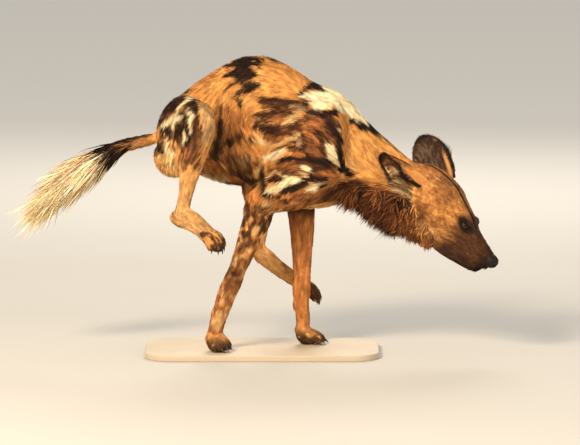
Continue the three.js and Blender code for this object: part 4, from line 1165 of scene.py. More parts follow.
BODY_FLOW = Flow(
    (
        (-200, 620, -0.75, -0.65), (-150, 655, -0.85, -0.5), (-100, 640, -0.6, -0.8), (-60, 690, -0.95, -0.3),
        (-110, 700, -0.9, -0.5), (0, 715, -1, 0.05), (-30, 650, -0.85, -0.5), (-95, 590, -0.2, -1),
        (-110, 540, -0.1, -1), (-50, 600, -0.3, -0.9), (-50, 540, 0.45, -0.85), (-60, 480, 0.2, -1),
        (-10, 525, 0.75, -0.65), (-40, 440, 0.3, -0.9), (-20, 490, 0.5, -0.85), (50, 690, -0.85, 0.45),
        (60, 650, -0.88, 0.35), (100, 670, -0.8, 0.6), (20, 612, -0.95, 0), (20, 570, -0.95, -0.1),
        (60, 600, -0.9, -0.2), (66, 572, -0.85, -0.5), (60, 545, -0.88, -0.3), (60, 520, -0.85, -0.45),
        (30, 490, -0.8, -0.5), (4, 460, -0.4, -0.9), (150, 640, -0.8, 0.45), (190, 620, -0.8, 0.5),
        (120, 590, -0.95, 0.15), (160, 565, -0.75, 0.55), (112, 550, -0.9, 0.35), (118, 505, -0.8, 0.5),
        (165, 500, -0.6, 0.8), (60, 460, -0.85, -0.4), (110, 458, -0.9, 0.25), (150, 450, -0.8, 0.4),
        (30, 430, -0.6, -0.75), (70, 425, -0.8, -0.5), (60, 400, -0.5, -0.85), (140, 410, -0.8, -0.4),
        (220, 545, -0.6, 0.75), (240, 480, -0.45, 0.85), (280, 520, -0.65, 0.75), (300, 460, -0.5, 0.8),
        (340, 470, -0.6, 0.75), (240, 420, -0.7, 0.2), (290, 400, -0.75, -0.2), (330, 380, -0.6, -0.6),
        (355, 420, -0.6, 0.3), (200, 390, -0.75, -0.4), (260, 360, -0.6, -0.78),
    ),
    reach=22,
)
THIGH_FLOW = Flow(
    (
        (-220, 610, -0.6, -0.8), (-180, 620, -0.7, -0.7), (-235, 560, -0.4, -0.9), (-190, 550, -0.3, -0.95),
        (-130, 590, -0.25, -0.97), (-130, 540, -0.35, -0.93), (-225, 490, 0.3, -0.95), (-165, 490, -0.45, -0.9),
        (-180, 430, -0.15, -1), (-190, 360, -0.1, -1),
    ),
    reach=24,
)


RUFF = Stroke(
    RED_BROWN,
    (214, 404, 18, 232, 396, 22, 267, 374, 34, 311, 352, 44, 346, 330, 40, 372, 302, 27, 402, 279, 13),
    soft=9,
    ragged=9,
)


@dataclass(frozen=True)
class Ground:
    """What is painted on: places, their regions and side view, and the hair's fraying, gaps and streaks there."""

    points: Array
    share: dict[Region, Array]
    side: Array
    wobble: Array
    breaks: Array
    hairs: Array


class Markings:
    """The coat's colours anywhere on the dog."""

    def __init__(self) -> None:
        """Make the noises that fray and break the markings."""
        self.fray = Noise(0.006, 3)
        self.breaks = Noise(0.007, 4)
        self.wide = Noise(0.09, 5)
        self.fleck = Noise(0.0022, 6)
        self.clump = Noise(0.0042, 7)
        self.hairs = Noise(0.0035, 8)
        self.locks = Noise(0.006, 9)
        self.mottle = Noise(0.013, 23)

    def __call__(self, points: Array, lie: Array, fields: Array) -> Array:
        """Return the colour of the coat.

        Args:
            points: Places on the skin in metres.
            lie: Direction of the hair at each.
            fields: Weight of each region at each place, in the order of Region.

        Returns:
            One linear colour for each place.
        """
        share = {region: fields[:, i] for i, region in enumerate(Region)}
        wobble = 2 * self.fray.streaks(points, lie, 0.009) - 1
        breaks = self.breaks.streaks(points, lie, 0.014)
        hairs = self.hairs.streaks(points, lie, 0.011)
        ground = Ground(points, share, self.side_view(points), wobble, breaks, hairs)
        colours = np.tile(TAN.rgb, (len(points), 1))
        lay(colours, (PALE_TAN, ease(self.wide.layered(points), 0.45, 0.75) * 0.5))
        arms = share[Region.ARM_RIGHT] + share[Region.ARM_LEFT]
        lay(colours, (ORANGE, 0.75 * arms * ease(-points[:, 2], -0.43, -0.37)))
        legs = (Region.THIGH_RIGHT, Region.THIGH_LEFT, Region.FOOT_RIGHT, Region.FOOT_LEFT)
        body = 1 - sum(share[region] for region in (*legs, Region.TAIL, Region.HEAD))
        body = np.where(points[:, 2] > 0.33, body, 0)
        self.draw(colours, FLANK_STROKES, ground, ease(body, 0.35, 0.55))
        self.draw(colours, THIGH_STROKES, ground, ease(share[Region.THIGH_RIGHT], 0.4, 0.6))
        ruff = RUFF.cover(points[:, [0, 2]] / MM, wobble, breaks) * (1 - ease(arms, 0.3, 0.6))
        locks = self.locks.streaks(points, lie, 0.02)
        lay(
            colours,
            (RED_BROWN, 0.92 * ruff),
            (DARK, 0.85 * ruff * ease(0.53 - locks, 0.0, 0.12)),
            (ORANGE, 0.6 * ruff * ease(locks, 0.6, 0.72)),
        )
        for paint in (self.far_thigh, self.legs, self.tail, self.head):
            paint(colours, ground)
        clump = self.clump.streaks(points, lie, 0.007) - 0.5
        fine = self.fleck(points) - 0.5
        return colours * np.exp(1.0 * clump + 0.45 * fine)[:, None]

    def draw(self, colours: Array, strokes: tuple[Stroke, ...], ground: Ground, share: Array) -> None:
        """Lay a table of strokes, each with its brindle, on a share of the skin.

        Args:
            colours: One colour for each place, changed in place.
            strokes: The table.
            ground: What is known of each place.
            share: How much of each stroke each place takes.
        """
        for stroke in strokes:
            cover = stroke.cover(ground.side, ground.wobble, ground.breaks) * share
            lay(colours, (stroke.tone, cover))
            if stroke.brindle:
                lay(
                    colours,
                    (DARK_BROWN, cover * stroke.brindle * ease(0.5 - ground.hairs, 0.0, 0.10) * 0.9),
                    (ORANGE, cover * stroke.brindle * ease(ground.hairs, 0.55, 0.66) * 0.6),
                )

    def side_view(self, points: Array) -> Array:
        """Return x and z in millimetres, drifting away from the right side's pattern on the dog's left."""
        far = ease(points[:, 1], 0.012, 0.06)[:, None]
        drift = np.stack([self.wide(points + 0.31), self.wide(points + 0.77)], 1) - 0.5
        return points[:, [0, 2]] / MM + far * (np.array([-30.0, 10.0]) + 110 * drift)

    def far_thigh(self, colours: Array, ground: Ground) -> None:
        """Mottle the left hind leg: dark and cream outside, reddish inside.

        Args:
            colours: One colour for each place, changed in place.
            ground: What is known of each place.
        """
        points, share = ground.points, ground.share
        thigh = ease(share[Region.THIGH_LEFT], 0.35, 0.6)
        inner = ease(-points[:, 1], -0.075, -0.03)
        big = Noise(0.03, 11).layered(points)
        lay(
            colours,
            (ORANGE, thigh * 0.6),
            (DARK, thigh * (1 - inner) * ease(big, 0.42, 0.5) * 0.95),
            (CREAM, thigh * (1 - inner) * ease(Noise(0.022, 12).layered(points), 0.6, 0.66)),
            (BROWN, thigh * inner * (0.35 + 0.5 * ease(ground.breaks, 0.4, 0.7))),
        )

    def legs(self, colours: Array, ground: Ground) -> None:
        """Fleck the forelegs, paint shade on the top of the far foreleg, pale the hocks and darken the toes.

        Args:
            colours: One colour for each place, changed in place.
            ground: What is known of each place.
        """
        points, share = ground.points, ground.share
        arms = share[Region.ARM_RIGHT] + share[Region.ARM_LEFT]
        low = ease(-points[:, 2], -0.39, -0.34) * ease(arms, 0.3, 0.6)
        flecks = ease(self.fleck(points), 0.55, 0.8)
        speckle = ease(ground.hairs, 0.5, 0.64)
        mottle = self.mottle.layered(points * (1.4, 1.4, 1.0))
        near = ease(share[Region.ARM_RIGHT], 0.4, 0.7)
        lay(
            colours,
            (ORANGE, 0.45 * low),
            (BROWN, low * (0.55 + 0.45 * near) * (0.12 + 0.4 * flecks + 0.3 * speckle)),
            (BROWN, low * near * 0.7 * ease(mottle, 0.48, 0.58)),
            (DARK_BROWN, low * near * 0.8 * ease(mottle, 0.47, 0.53) * ease(points[:, 2], 0.24, 0.3)),
            (PALE_TAN, low * near * 0.45 * ease(0.44 - mottle, 0.0, 0.08)),
        )
        self.draw(colours, FORELEG_STROKES, ground, near)
        # painted shade: the top of the far foreleg darkened, under the chest
        lay(colours, (DARK, 0.85 * ease(share[Region.ARM_LEFT], 0.3, 0.6) * ease(points[:, 2], 0.305, 0.345)))
        shank = ease(share[Region.THIGH_RIGHT], 0.4, 0.7) * ease(-points[:, 2], -0.46, -0.40)
        lay(colours, (PALE_TAN, 0.45 * shank))
        foot = ease(share[Region.FOOT_RIGHT], 0.3, 0.6)
        lay(colours, (PALE_TAN, 0.6 * foot), (BROWN, (foot + shank) * (0.16 + 0.35 * flecks + 0.25 * speckle)))
        far_shank = ease(share[Region.THIGH_LEFT], 0.4, 0.7) * ease(-points[:, 2], -0.40, -0.33)
        lay(colours, (TAN, 0.6 * far_shank))
        far_foot = ease(share[Region.FOOT_LEFT], 0.3, 0.6)
        lay(colours, (PALE_TAN, 0.35 * far_foot), (BROWN, far_foot * (0.1 + 0.35 * speckle)))
        for region, start, reach in ((Region.FOREPAWS, 0.062, 0.03), (Region.HINDPAWS, 0.0, 0.0)):
            paw = ease(share[region], 0.4, 0.8)
            lay(colours, (TAN, 0.5 * paw), (BROWN, paw * (0.2 + 0.35 * flecks)))
            blotch = ease(Noise(0.016, 21).layered(points) + 0.15 * ground.wobble, 0.38, 0.50)
            down = ease(start - points[:, 2], -0.004, reach) if reach else 1.0
            lay(colours, (DARK, paw * blotch * down * 0.9))

    def tail(self, colours: Array, ground: Ground) -> None:
        """Draw the dark streak on the tail's root, its black band and its white brush.

        Args:
            colours: One colour for each place, changed in place.
            ground: What is known of each place.
        """
        points, wobble = ground.points, ground.wobble
        tail = ease(ground.share[Region.TAIL], 0.3, 0.6)
        along = -points[:, 0] / MM + 7 * wobble
        top = ease((points[:, 2] - np.interp(points[:, 0], [-0.42, -0.33, -0.25], [0.452, 0.502, 0.522])) / MM, 4, 12)
        lay(
            colours,
            (ORANGE, 0.4 * tail * ease(along, 230, 260)),
            (BROWN, 0.25 * tail * ease(along, 240, 300)),
            (DARK, tail * top * ease(along, 236, 246)),
        )
        black = ease(along, 308, 322) * (1 - ease(along - 14 * top, 352, 366))
        lay(
            colours,
            (WHITE, tail * ease(along, 350, 366)),
            (TAN, 0.2 * tail * ease(along, 350, 366)),
            (DARK, tail * black),
        )

    def head(self, colours: Array, ground: Ground) -> None:
        """Colour the head: tan brow and cheeks, black middle stripe, dark muzzle and eye.

        Args:
            colours: One colour for each place, changed in place.
            ground: What is known of each place.
        """
        points, wobble = ground.points, ground.wobble
        head = ease(ground.share[Region.HEAD], 0.3, 0.6)
        q = HEAD.local(points)
        u, v, w = q[:, 0], np.abs(q[:, 1]), q[:, 2]
        lay(colours, (ORANGE, head * 0.5))
        mottle = self.mottle.layered(points)
        flecks = self.fleck(points + 0.2)
        lay(
            colours,
            (BROWN, head * (0.05 + 0.4 * ease(mottle, 0.46, 0.6) + 0.45 * ease(flecks, 0.5, 0.62))),
            (TAN, head * 0.8 * ease(0.5 - mottle, 0, 0.1) * ease(0.52 - flecks, 0.0, 0.12)),
            (BROWN, head * 0.55 * np.exp(-((u - 22) ** 2 / 700 + (v - 40) ** 2 / 500)) * ease(w, 0, 40)),
            (DARK_BROWN, head * 0.55 * np.exp(-((u - 18) ** 2 / 420)) * ease(20 - w, 0, 30) * ease(v, 20, 40)),
            (PALE_TAN, head * 0.25 * np.exp(-((u - 62) ** 2 / 800 + (w + 30) ** 2 / 260))),
        )
        front = u + 0.42 * (-w - 20) * (w < -20) + 5 * wobble
        lay(
            colours,
            (BROWN, head * 0.8 * ease(front, 84, 116)),
            (MUZZLE, head * 0.95 * ease(front, 102, 128)),
            (BROWN, head * 0.4 * ease(front, 102, 128) * ease(self.fleck(points * 1.3), 0.5, 0.66)),
            (DARK, head * 0.75 * ease(u + 3 * wobble, 176, 208)),
            (DARK, head * 0.6 * ease(-w + 3 * wobble, 34, 44) * ease(u, 95, 120)),
        )
        eye = np.linalg.norm(((np.stack([u, v, w], 1) - EYE.middle) @ EYE.axes().T) / (1.7, 0.85, 1.2), axis=1)
        lay(colours, (DARK, head * (1 - ease(eye + 1.5 * wobble, 12, 19))))
        stripe = (1 - ease(v + 1.2 * wobble, 3.4, 5.6)) * (w > 0) * (1 - ease(u, 132, 156))
        lay(colours, (DARK, head * stripe * 0.97))


# Hair


@dataclass
class Hide:
    """A surface that hair grows on, with the fields that say how, and the rule for its colours."""

    object: Object
    lie: Array
    length: Array
    width: Array
    lift: Array
    density: Array
    fields: Array
    paint: Callable[[Array, Array, Array], Array]

    def corners(self) -> tuple[Array, Array, Array, Array]:
        """Return the vertices, their normals, and each triangle's vertices and places on the unwrap."""
        mesh = self.object.data
        count = len(mesh.vertices)
        points, normals = np.empty(count * 3), np.empty(count * 3, np.float32)
        mesh.vertices.foreach_get("co", points)
        mesh.vertex_normals.foreach_get("vector", normals)
        tris = mesh.loop_triangles
        corner, loop = np.empty(len(tris) * 3, np.int32), np.empty(len(tris) * 3, np.int32)
        tris.foreach_get("vertices", corner)
        tris.foreach_get("loops", loop)
        uv = np.empty(len(mesh.loops) * 2, np.float32)
        mesh.uv_layers["OFBake"].uv.foreach_get("vector", uv)
        placed = uv.reshape(-1, 2)[loop].reshape(-1, 3, 2)
        return points.reshape(-1, 3), normals.reshape(-1, 3).astype(float), corner.reshape(-1, 3), placed

    def weight(self, *regions: Region) -> Array:
        """Return the joint weight of some regions at each vertex."""
        return self.fields[:, [list(Region).index(region) for region in regions]].sum(1)

    def wear(self) -> None:
        """Give the surface its own colours."""
        points, _, _, _ = self.corners()
        write_colours(self.object.data, self.paint(points, self.lie, self.fields))

    def sow(self, density: Array, seed: int) -> "Roots":
        """Choose evenly scattered roots.

        Args:
            density: Tufts a square centimetre at each vertex.
            seed: Chooses the scatter.

        Returns:
            The roots with everything the hide knows there.
        """
        rng = np.random.default_rng(seed)
        points, normals, corner, uv = self.corners()
        a, b, c = (points[corner[:, k]] for k in range(3))
        area = 0.5 * np.linalg.norm(np.cross(b - a, c - a), axis=1) * 1e4
        expected = np.cumsum(area * density[corner].mean(1))
        total = int(expected[-1])
        pick = np.searchsorted(expected, (np.arange(total) + rng.random(total)) / total * expected[-1])
        pick = np.minimum(pick, len(corner) - 1)
        first, second = rng.random((2, total))
        flip = first + second > 1
        first, second = np.where(flip, 1 - first, first), np.where(flip, 1 - second, second)
        weight = np.stack([1 - first - second, first, second], 1)

        def spread(values: Array) -> Array:
            """Return vertex values at the roots."""
            return np.einsum("ij,ij...->i...", weight, values[corner[pick]])

        return Roots(
            spread(points), unit(spread(normals)), unit(spread(self.lie)), spread(self.length) * MM,
            spread(self.width) * MM, np.radians(spread(self.lift)), spread(self.fields),
            np.einsum("ij,ijk->ik", weight, uv[pick]), self.paint, rng,
        )


@dataclass
class Roots:
    """Where tufts grow, one a row, sizes in metres and lift in radians."""

    place: Array
    normal: Array
    lie: Array
    length: Array
    width: Array
    lift: Array
    fields: Array
    uv: Array
    paint: Callable[[Array, Array, Array], Array]
    rng: np.random.Generator

    def kept(self, chosen: Array) -> "Roots":
        """Return only the chosen roots."""
        parts = (self.place, self.normal, self.lie, self.length, self.width, self.lift, self.fields, self.uv)
        return Roots(*(part[chosen] for part in parts), self.paint, self.rng)

    def colours(self, form: "TuftForm") -> Array:
        """Return each tuft's colour, read some way along it and a little lighter or darker than the skin's."""
        ahead = form.reading * self.length + self.rng.normal(0, 0.0025, len(self.place))
        jitter = self.place + self.lie * ahead[:, None]
        tone = np.minimum(np.exp(self.rng.normal(0, form.contrast, len(self.place))), 1.45)
        return self.paint(jitter, self.lie, self.fields) * tone[:, None]


@dataclass(frozen=True)
class TuftForm:
    """How a tuft is bent, cut and coloured.

    Joints are shares of its length and flare its breadth at each. Reading says where along it the colour is taken, and
    locks how far neighbours swing together.
    """

    joints: tuple[float, ...] = (0.0, 0.5, 1.0)
    flare: tuple[float, ...] = (1.0, 0.8, 0.0)
    bend: float = 0.8
    swing: float = 0.16
    roll: float = 0.55
    sink: float = 0.0012
    droop: float = 0.0
    tip_tone: float = 1.12
    root_tone: float = 0.8
    contrast: float = 0.24
    reading: float = 0.75
    locks: float = 0.0


class Coat:
    """Pieces of solid tufts, each small enough to stay workable."""

    LIMIT = 186_000  # triangles in one piece
    PATCH = 0.0015  # half the size of a tuft's place on the unwrap

    def __init__(self, name: str, roots: Roots, form: TuftForm, slot: str, finish: Material) -> None:
        """Grow all tufts and split them into pieces.

        Args:
            name: Start of the pieces' names.
            roots: Where the tufts grow.
            form: How they are bent.
            slot: Not used.
            finish: Their material.
        """
        self.form = form
        rings = len(form.joints)
        per_tuft = 2 * (rings - 1) - 1
        order = np.argsort(roots.place[:, 0], kind="stable")
        roots = roots.kept(order)
        count = math.ceil(len(order) * per_tuft / self.LIMIT)
        colours = roots.colours(form)
        corners, shade = self.blades(roots)
        for i, chunk in enumerate(np.array_split(np.arange(len(order)), count)):
            label = name if count == 1 else f"{name}_{i + 1}"
            piece = self.piece(label, corners[chunk], shade[chunk], colours[chunk], roots.uv[chunk])
            dress(piece, finish)
        log.info("%s: %d tufts, %d triangles in %d pieces", name, len(order), len(order) * per_tuft, count)

    def blades(self, roots: Roots) -> tuple[Array, Array]:
        """Return every tuft's corners and the normals it is shaded with."""
        form, rng, count = self.form, roots.rng, len(roots.place)
        across = unit(np.cross(roots.lie, roots.normal))
        swing = rng.normal(0, form.swing, count)[:, None]
        if form.locks:
            swing += form.locks * (Noise(0.011, 15)(roots.place) - 0.5)[:, None]
        lie = unit(roots.lie * np.cos(swing) + across * np.sin(swing))
        lift = (roots.lift * np.exp(rng.normal(0, 0.25, count)))[:, None]
        length = (roots.length * np.exp(rng.normal(0, 0.16, count)))[:, None]
        start = unit(lie * np.cos(lift) + roots.normal * np.sin(lift))
        roll = rng.normal(0, form.roll, count)[:, None]
        flat = unit(np.cross(start, roots.normal))
        edge = flat * np.cos(roll) + np.cross(start, flat) * np.sin(roll)
        place = roots.place - roots.normal * form.sink
        rows, last = [], 0.0
        for joint, flare in zip(form.joints, form.flare):
            middle = (joint + last) / 2
            way = unit(start * (1 - form.bend * middle) + lie * form.bend * middle - UP * form.droop * middle)
            place = place + way * length * (joint - last)
            last = joint
            half = edge * roots.width[:, None] * flare / 2
            rows += [place - half, place + half] if flare > 0 else [place]
        corners = np.stack(rows, 1)
        blade = unit(np.cross(edge, start))
        blade *= np.sign(dots(blade, roots.normal))
        return corners, unit(0.65 * roots.normal + 0.35 * blade)

    def piece(self, name: str, corners: Array, shade: Array, colours: Array, uv: Array) -> Object:
        """Make one mesh of many tufts.

        Args:
            name: The piece's name.
            corners: Each tuft's corners.
            shade: The normal that each tuft is shaded with.
            colours: Each tuft's colour.
            uv: Each tuft's place on the unwrap.

        Returns:
            The piece.
        """
        count, size = corners.shape[:2]
        last = size - 1
        one = []
        for k in range(0, last - 1, 2):
            far = (k + 2, k + 3) if k + 3 < last else (last, last)
            one.append((k, k + 1, far[1]))
            if far[0] != far[1]:
                one.append((k, far[1], far[0]))
        tris = (np.array(one)[None] + (np.arange(count) * size)[:, None, None]).reshape(-1, 3)
        mesh = bpy.data.meshes.new(name)
        mesh.vertices.add(count * size)
        mesh.vertices.foreach_set("co", corners.ravel())
        mesh.loops.add(len(tris) * 3)
        mesh.loops.foreach_set("vertex_index", tris.ravel())
        mesh.polygons.add(len(tris))
        mesh.polygons.foreach_set("loop_start", np.arange(len(tris)) * 3)
        mesh.update(calc_edges=True)
        mesh.polygons.foreach_set("use_smooth", np.ones(len(tris), bool))
        tone = np.linspace(self.form.root_tone, self.form.tip_tone, len(self.form.joints))
        tone = np.concatenate([[t, t] for t in tone[:-1]] + [[tone[-1]]])[:, None]
        write_colours(mesh, (colours[:, None] * tone).reshape(-1, 3))
        side = np.array([-1.0, 1.0] * (size // 2) + [0.0])
        high = np.repeat(np.linspace(-1, 1, len(self.form.joints)), 2)[:size]
        spot = uv[:, None] + self.PATCH * np.stack([side, high], 1)
        layer = mesh.uv_layers.new(name="OFBake")
        layer.uv.foreach_set("vector", spot.reshape(-1, 2)[tris.ravel()].astype(np.float32).ravel())
        mesh.normals_split_custom_set_from_vertices(np.repeat(shade, size, 0))
        return added(name, mesh)


def write_colours(mesh: bpy.types.Mesh, colours: Array) -> None:
    """Store one colour on each vertex for the finishes to read."""
    layer = mesh.color_attributes.new("marking", "FLOAT_COLOR", "POINT")
    rgba = np.concatenate([np.clip(colours, 0, 1), np.ones((len(colours), 1))], 1)
    layer.data.foreach_set("color", rgba.astype(np.float32).ravel())


def unwrap(piece: Object) -> None:
    """Lay a surface flat on the map named OFBake."""
    piece.data.uv_layers.new(name="OFBake")
    bpy.ops.object.select_all(action="DESELECT")
    piece.select_set(True)
    bpy.context.view_layer.objects.active = piece
    bpy.ops.object.mode_set(mode="EDIT")
    bpy.ops.mesh.select_all(action="SELECT")
    bpy.ops.uv.smart_project(angle_limit=1.15, island_margin=0.001)
    bpy.ops.object.mode_set(mode="OBJECT")


# Finishes


class Value:
    """A shader socket that takes part in Python arithmetic."""

    def __init__(self, graph: "Graph", socket: bpy.types.NodeSocket) -> None:
        """Wrap a socket of a graph's node."""
        self.graph = graph
        self.socket = socket

    def _math(self, kind: str, a: "Value | float", b: "Value | float") -> "Value":
        """Return a Math node's result for two operands."""
        return self.graph.node("ShaderNodeMath", {"operation": kind}, {0: a, 1: b})

    def __add__(self, other: "Value | float") -> "Value":
        """Return the sum."""
        return self._math("ADD", self, other)

    __radd__ = __add__

    def __rsub__(self, other: float) -> "Value":
        """Return a number less this."""
        return self._math("SUBTRACT", other, self)

    def __mul__(self, other: "Value | float") -> "Value":
        """Return the product."""
        return self._math("MULTIPLY", self, other)

    __rmul__ = __mul__

    def between(self, low: float, high: float) -> "Value":
        """Return a smooth step from low to high."""
        settings = {"interpolation_type": "SMOOTHSTEP"}
        return self.graph.node("ShaderNodeMapRange", settings, {"Value": self, "From Min": low, "From Max": high})


class Graph:
    """A material's nodes."""

    def __init__(self, name: str) -> None:
        """Start a material with one Principled shader.

        Args:
            name: The material's name.
        """
        self.material = bpy.data.materials.new(name)
        self.material.use_nodes = True
        self.tree = self.material.node_tree
        self.tree.nodes.clear()
        out = self.tree.nodes.new("ShaderNodeOutputMaterial")
        self.shader = self.tree.nodes.new("ShaderNodeBsdfPrincipled")
        self.tree.links.new(self.shader.outputs[0], out.inputs["Surface"])

    def set(self, socket: bpy.types.NodeSocket, value: object) -> None:
        """Give a socket a link or a value."""
        if isinstance(value, Value):
            self.tree.links.new(value.socket, socket)
        elif isinstance(value, tuple) and len(value) == 3 and socket.type == "RGBA":
            socket.default_value = (*value, 1.0)
        else:
            socket.default_value = value

    def node(
        self, kind: str, settings: dict[str, object], inputs: dict[str | int, object], output: str | int = 0
    ) -> Value:
        """Add one node.

        Args:
            kind: The node's type.
            settings: Its properties, set first.
            inputs: Values or links for its sockets, by name or number.
            output: Which output to return.

        Returns:
            The chosen output.
        """
        made = self.tree.nodes.new(kind)
        for name, value in settings.items():
            setattr(made, name, value)
        for name, value in inputs.items():
            self.set(made.inputs[name], value)
        return Value(self, made.outputs[output])

    def principled(self, **inputs: object) -> None:
        """Set the shader's sockets, named with spaces as underscores."""
        for name, value in inputs.items():
            self.set(self.shader.inputs[name.replace("_", " ")], value)

    def attribute(self, name: str, output: str = "Color") -> Value:
        """Return an attribute that the mesh holds."""
        return self.node("ShaderNodeAttribute", {"attribute_name": name}, {}, output)

    def place(self) -> Value:
        """Return the object's own coordinates."""
        return self.node("ShaderNodeTexCoord", {}, {}, "Object")

    def noise(self, scale: float, detail: float) -> Value:
        """Return noise of a scale per metre at the object's own coordinates."""
        inputs = {"Vector": self.place(), "Scale": scale, "Detail": detail}
        return self.node("ShaderNodeTexNoise", {}, inputs, "Fac")

    def mix(self, share: Value | float, a: object, b: object) -> Value:
        """Return a colour between a and b."""
        return self.node("ShaderNodeMix", {"data_type": "RGBA"}, {0: share, 6: a, 7: b}, 2)

    def scaled(self, colour: object, by: Value | float) -> Value:
        """Return a colour made lighter or darker."""
        return self.node("ShaderNodeVectorMath", {"operation": "SCALE"}, {0: colour, "Scale": by})

    def bump(self, height: Value, strength: float, distance: float) -> Value:
        """Return a normal raised by a height."""
        return self.node("ShaderNodeBump", {}, {"Height": height, "Strength": strength, "Distance": distance})


@dataclass(frozen=True)
class FurFinish:
    """Matt hair that takes its colour from the marking laid on each vertex."""

    name: str
    roughness: float = 0.8
    grain: float = 900.0
    depth: float = 0.0012

    def material(self) -> Material:
        """Return the material."""
        g = Graph(self.name)
        tone = 0.78 + 0.44 * g.noise(self.grain, 3.0)
        g.principled(
            Base_Color=g.scaled(g.attribute("marking"), tone),
            Roughness=self.roughness,
            Normal=g.bump(g.noise(self.grain * 0.7, 4.0), 0.35, self.depth),
            Specular_IOR_Level=0.12,
        )
        return g.material


@dataclass(frozen=True)
class LeatherFinish:
    """Bare damp skin with a pebbled grain."""

    name: str
    colour: Colour
    roughness: float = 0.38
    pebble: float = 700.0

    def material(self) -> Material:
        """Return the material."""
        g = Graph(self.name)
        inputs = {"Vector": g.place(), "Scale": self.pebble}
        cells = g.node("ShaderNodeTexVoronoi", {"feature": "SMOOTH_F1"}, inputs, "Distance")
        blotch = g.noise(120.0, 3.0)
        base_colour = g.mix(blotch.between(0.3, 0.8), self.colour, tuple(min(1.0, 2.2 * c) for c in self.colour))
        g.principled(
            Base_Color=g.scaled(base_colour, 1.15 - 0.5 * cells),
            Roughness=self.roughness + 0.25 * blotch,
            Normal=g.bump(1 - cells, 0.5, 0.0006),
            Specular_IOR_Level=0.14,
        )
        return g.material


@dataclass(frozen=True)
class HornFinish:
    """Dark worn horn, paler towards the worn end."""

    name: str
    colour: Colour
    worn: Colour

    def material(self) -> Material:
        """Return the material."""
        g = Graph(self.name)
        grain = g.noise(420.0, 4.0)
        g.principled(
            Base_Color=g.mix(grain.between(0.45, 0.75), self.colour, self.worn),
            Roughness=0.42 + 0.2 * grain,
            Normal=g.bump(grain, 0.3, 0.0004),
        )
        return g.material


@dataclass(frozen=True)
class EyeFinish:
    """A wet dark brown iris round a black pupil, under a clear coat."""

    name: str = "wet_dark_eye"
    iris: Colour = (0.030, 0.012, 0.006)
    edge: Colour = (0.006, 0.004, 0.003)

    def material(self) -> Material:
        """Return the material."""
        g = Graph(self.name)
        ring = g.attribute("marking", "Fac")
        flecks = g.noise(1500.0, 3.0)
        iris = g.mix(flecks.between(0.3, 0.8), self.iris, tuple(2.0 * c for c in self.iris))
        g.principled(
            Base_Color=g.mix(ring.between(0.3, 0.5), self.edge, iris),
            Roughness=0.3,
            Coat_Weight=0.6,
            Coat_Roughness=0.08,
            Specular_IOR_Level=0.1,
        )
        return g.material


@dataclass(frozen=True)
class BoardFinish:
    """Satin sand-coloured paint on fine board."""

    name: str = "sand_board"
    colour: Colour = (0.56, 0.46, 0.33)

    def material(self) -> Material:
        """Return the material."""
        g = Graph(self.name)
        cloud = g.noise(9.0, 5.0)
        speck = g.noise(900.0, 2.0)
        clouded = g.mix(cloud.between(0.35, 0.7), self.colour, tuple(0.9 * c for c in self.colour))
        g.principled(
            Base_Color=g.scaled(clouded, 0.93 + 0.1 * cloud + 0.06 * speck),
            Roughness=0.5 + 0.15 * cloud,
            Normal=g.bump(speck, 0.12, 0.0004),
        )
        return g.material


# Stage


@dataclass(frozen=True)
class Studio:
    """The pale floor, the soft lights and the camera at the photograph's angle."""

    distance: float = 12.0
    elevation: float = 7.0
    picture_width: float = 1.392
    target: Point = (0.067, 0.0, 0.316)

    def build(self) -> None:
        """Make the floor, the lights and the camera."""
        bpy.ops.mesh.primitive_plane_add(size=60, location=(0, 0, 0))
        floor = bpy.context.object
        floor.name = "floor"
        g = Graph("pale_floor")
        tone = g.noise(2.0, 3.0)
        away = g.node("ShaderNodeVectorMath", {"operation": "LENGTH"}, {"Vector": g.place()}, "Value")
        around = g.mix(tone, (0.52, 0.50, 0.46), (0.55, 0.53, 0.49))
        g.principled(Base_Color=g.mix(away.between(1.5, 6.0), around, (0.93, 0.90, 0.84)), Roughness=0.85)
        floor.data.materials.append(g.material)
        self.light("key", (-2.0, -3.4, 3.2), 1.2, 300.0, (1.0, 0.83, 0.62))
        self.light("fill", (3.2, -3.0, 1.6), 2.6, 60.0, (1.0, 0.9, 0.78))
        self.light("rim", (0.4, 3.4, 2.8), 2.0, 90.0, (1.0, 0.93, 0.84))
        world = bpy.data.worlds.new("soft_room")
        world.use_nodes = True
        world.node_tree.nodes["Background"].inputs[0].default_value = (1.0, 0.97, 0.92, 1)
        world.node_tree.nodes["Background"].inputs[1].default_value = 0.55
        bpy.context.scene.world = world
        bpy.context.scene.view_settings.view_transform = "Standard"
        self.camera()

    def light(self, name: str, place: Point, size: float, power: float, colour: Colour) -> None:
        """Add a soft square light that looks at the dog.

        Args:
            name: Its name.
            place: Where it stands.
            size: Its side in metres.
            power: Its power in watts.
            colour: Its colour.
        """
        lamp = bpy.data.lights.new(name, "AREA")
        lamp.size, lamp.energy, lamp.color = size, power, colour
        holder = added(name, lamp)
        holder.location = place
        holder.rotation_euler = (Vector(self.target) - Vector(place)).to_track_quat("-Z", "Y").to_euler()

    def camera(self) -> None:
        """Place the camera on the dog's right, a little above it."""
        lens = bpy.data.cameras.new("camera")
        lens.sensor_width = 36.0
        lens.lens = 36.0 * self.distance / self.picture_width
        lens.clip_end = 200.0
        holder = added("camera", lens)
        slope = math.radians(self.elevation)
        holder.location = Vector(self.target) + self.distance * Vector((0, -math.cos(slope), math.sin(slope)))
        holder.rotation_euler = (math.pi / 2 - slope, 0, 0)
        bpy.context.scene.camera = holder


# Ears, eyes, nose, claws and base


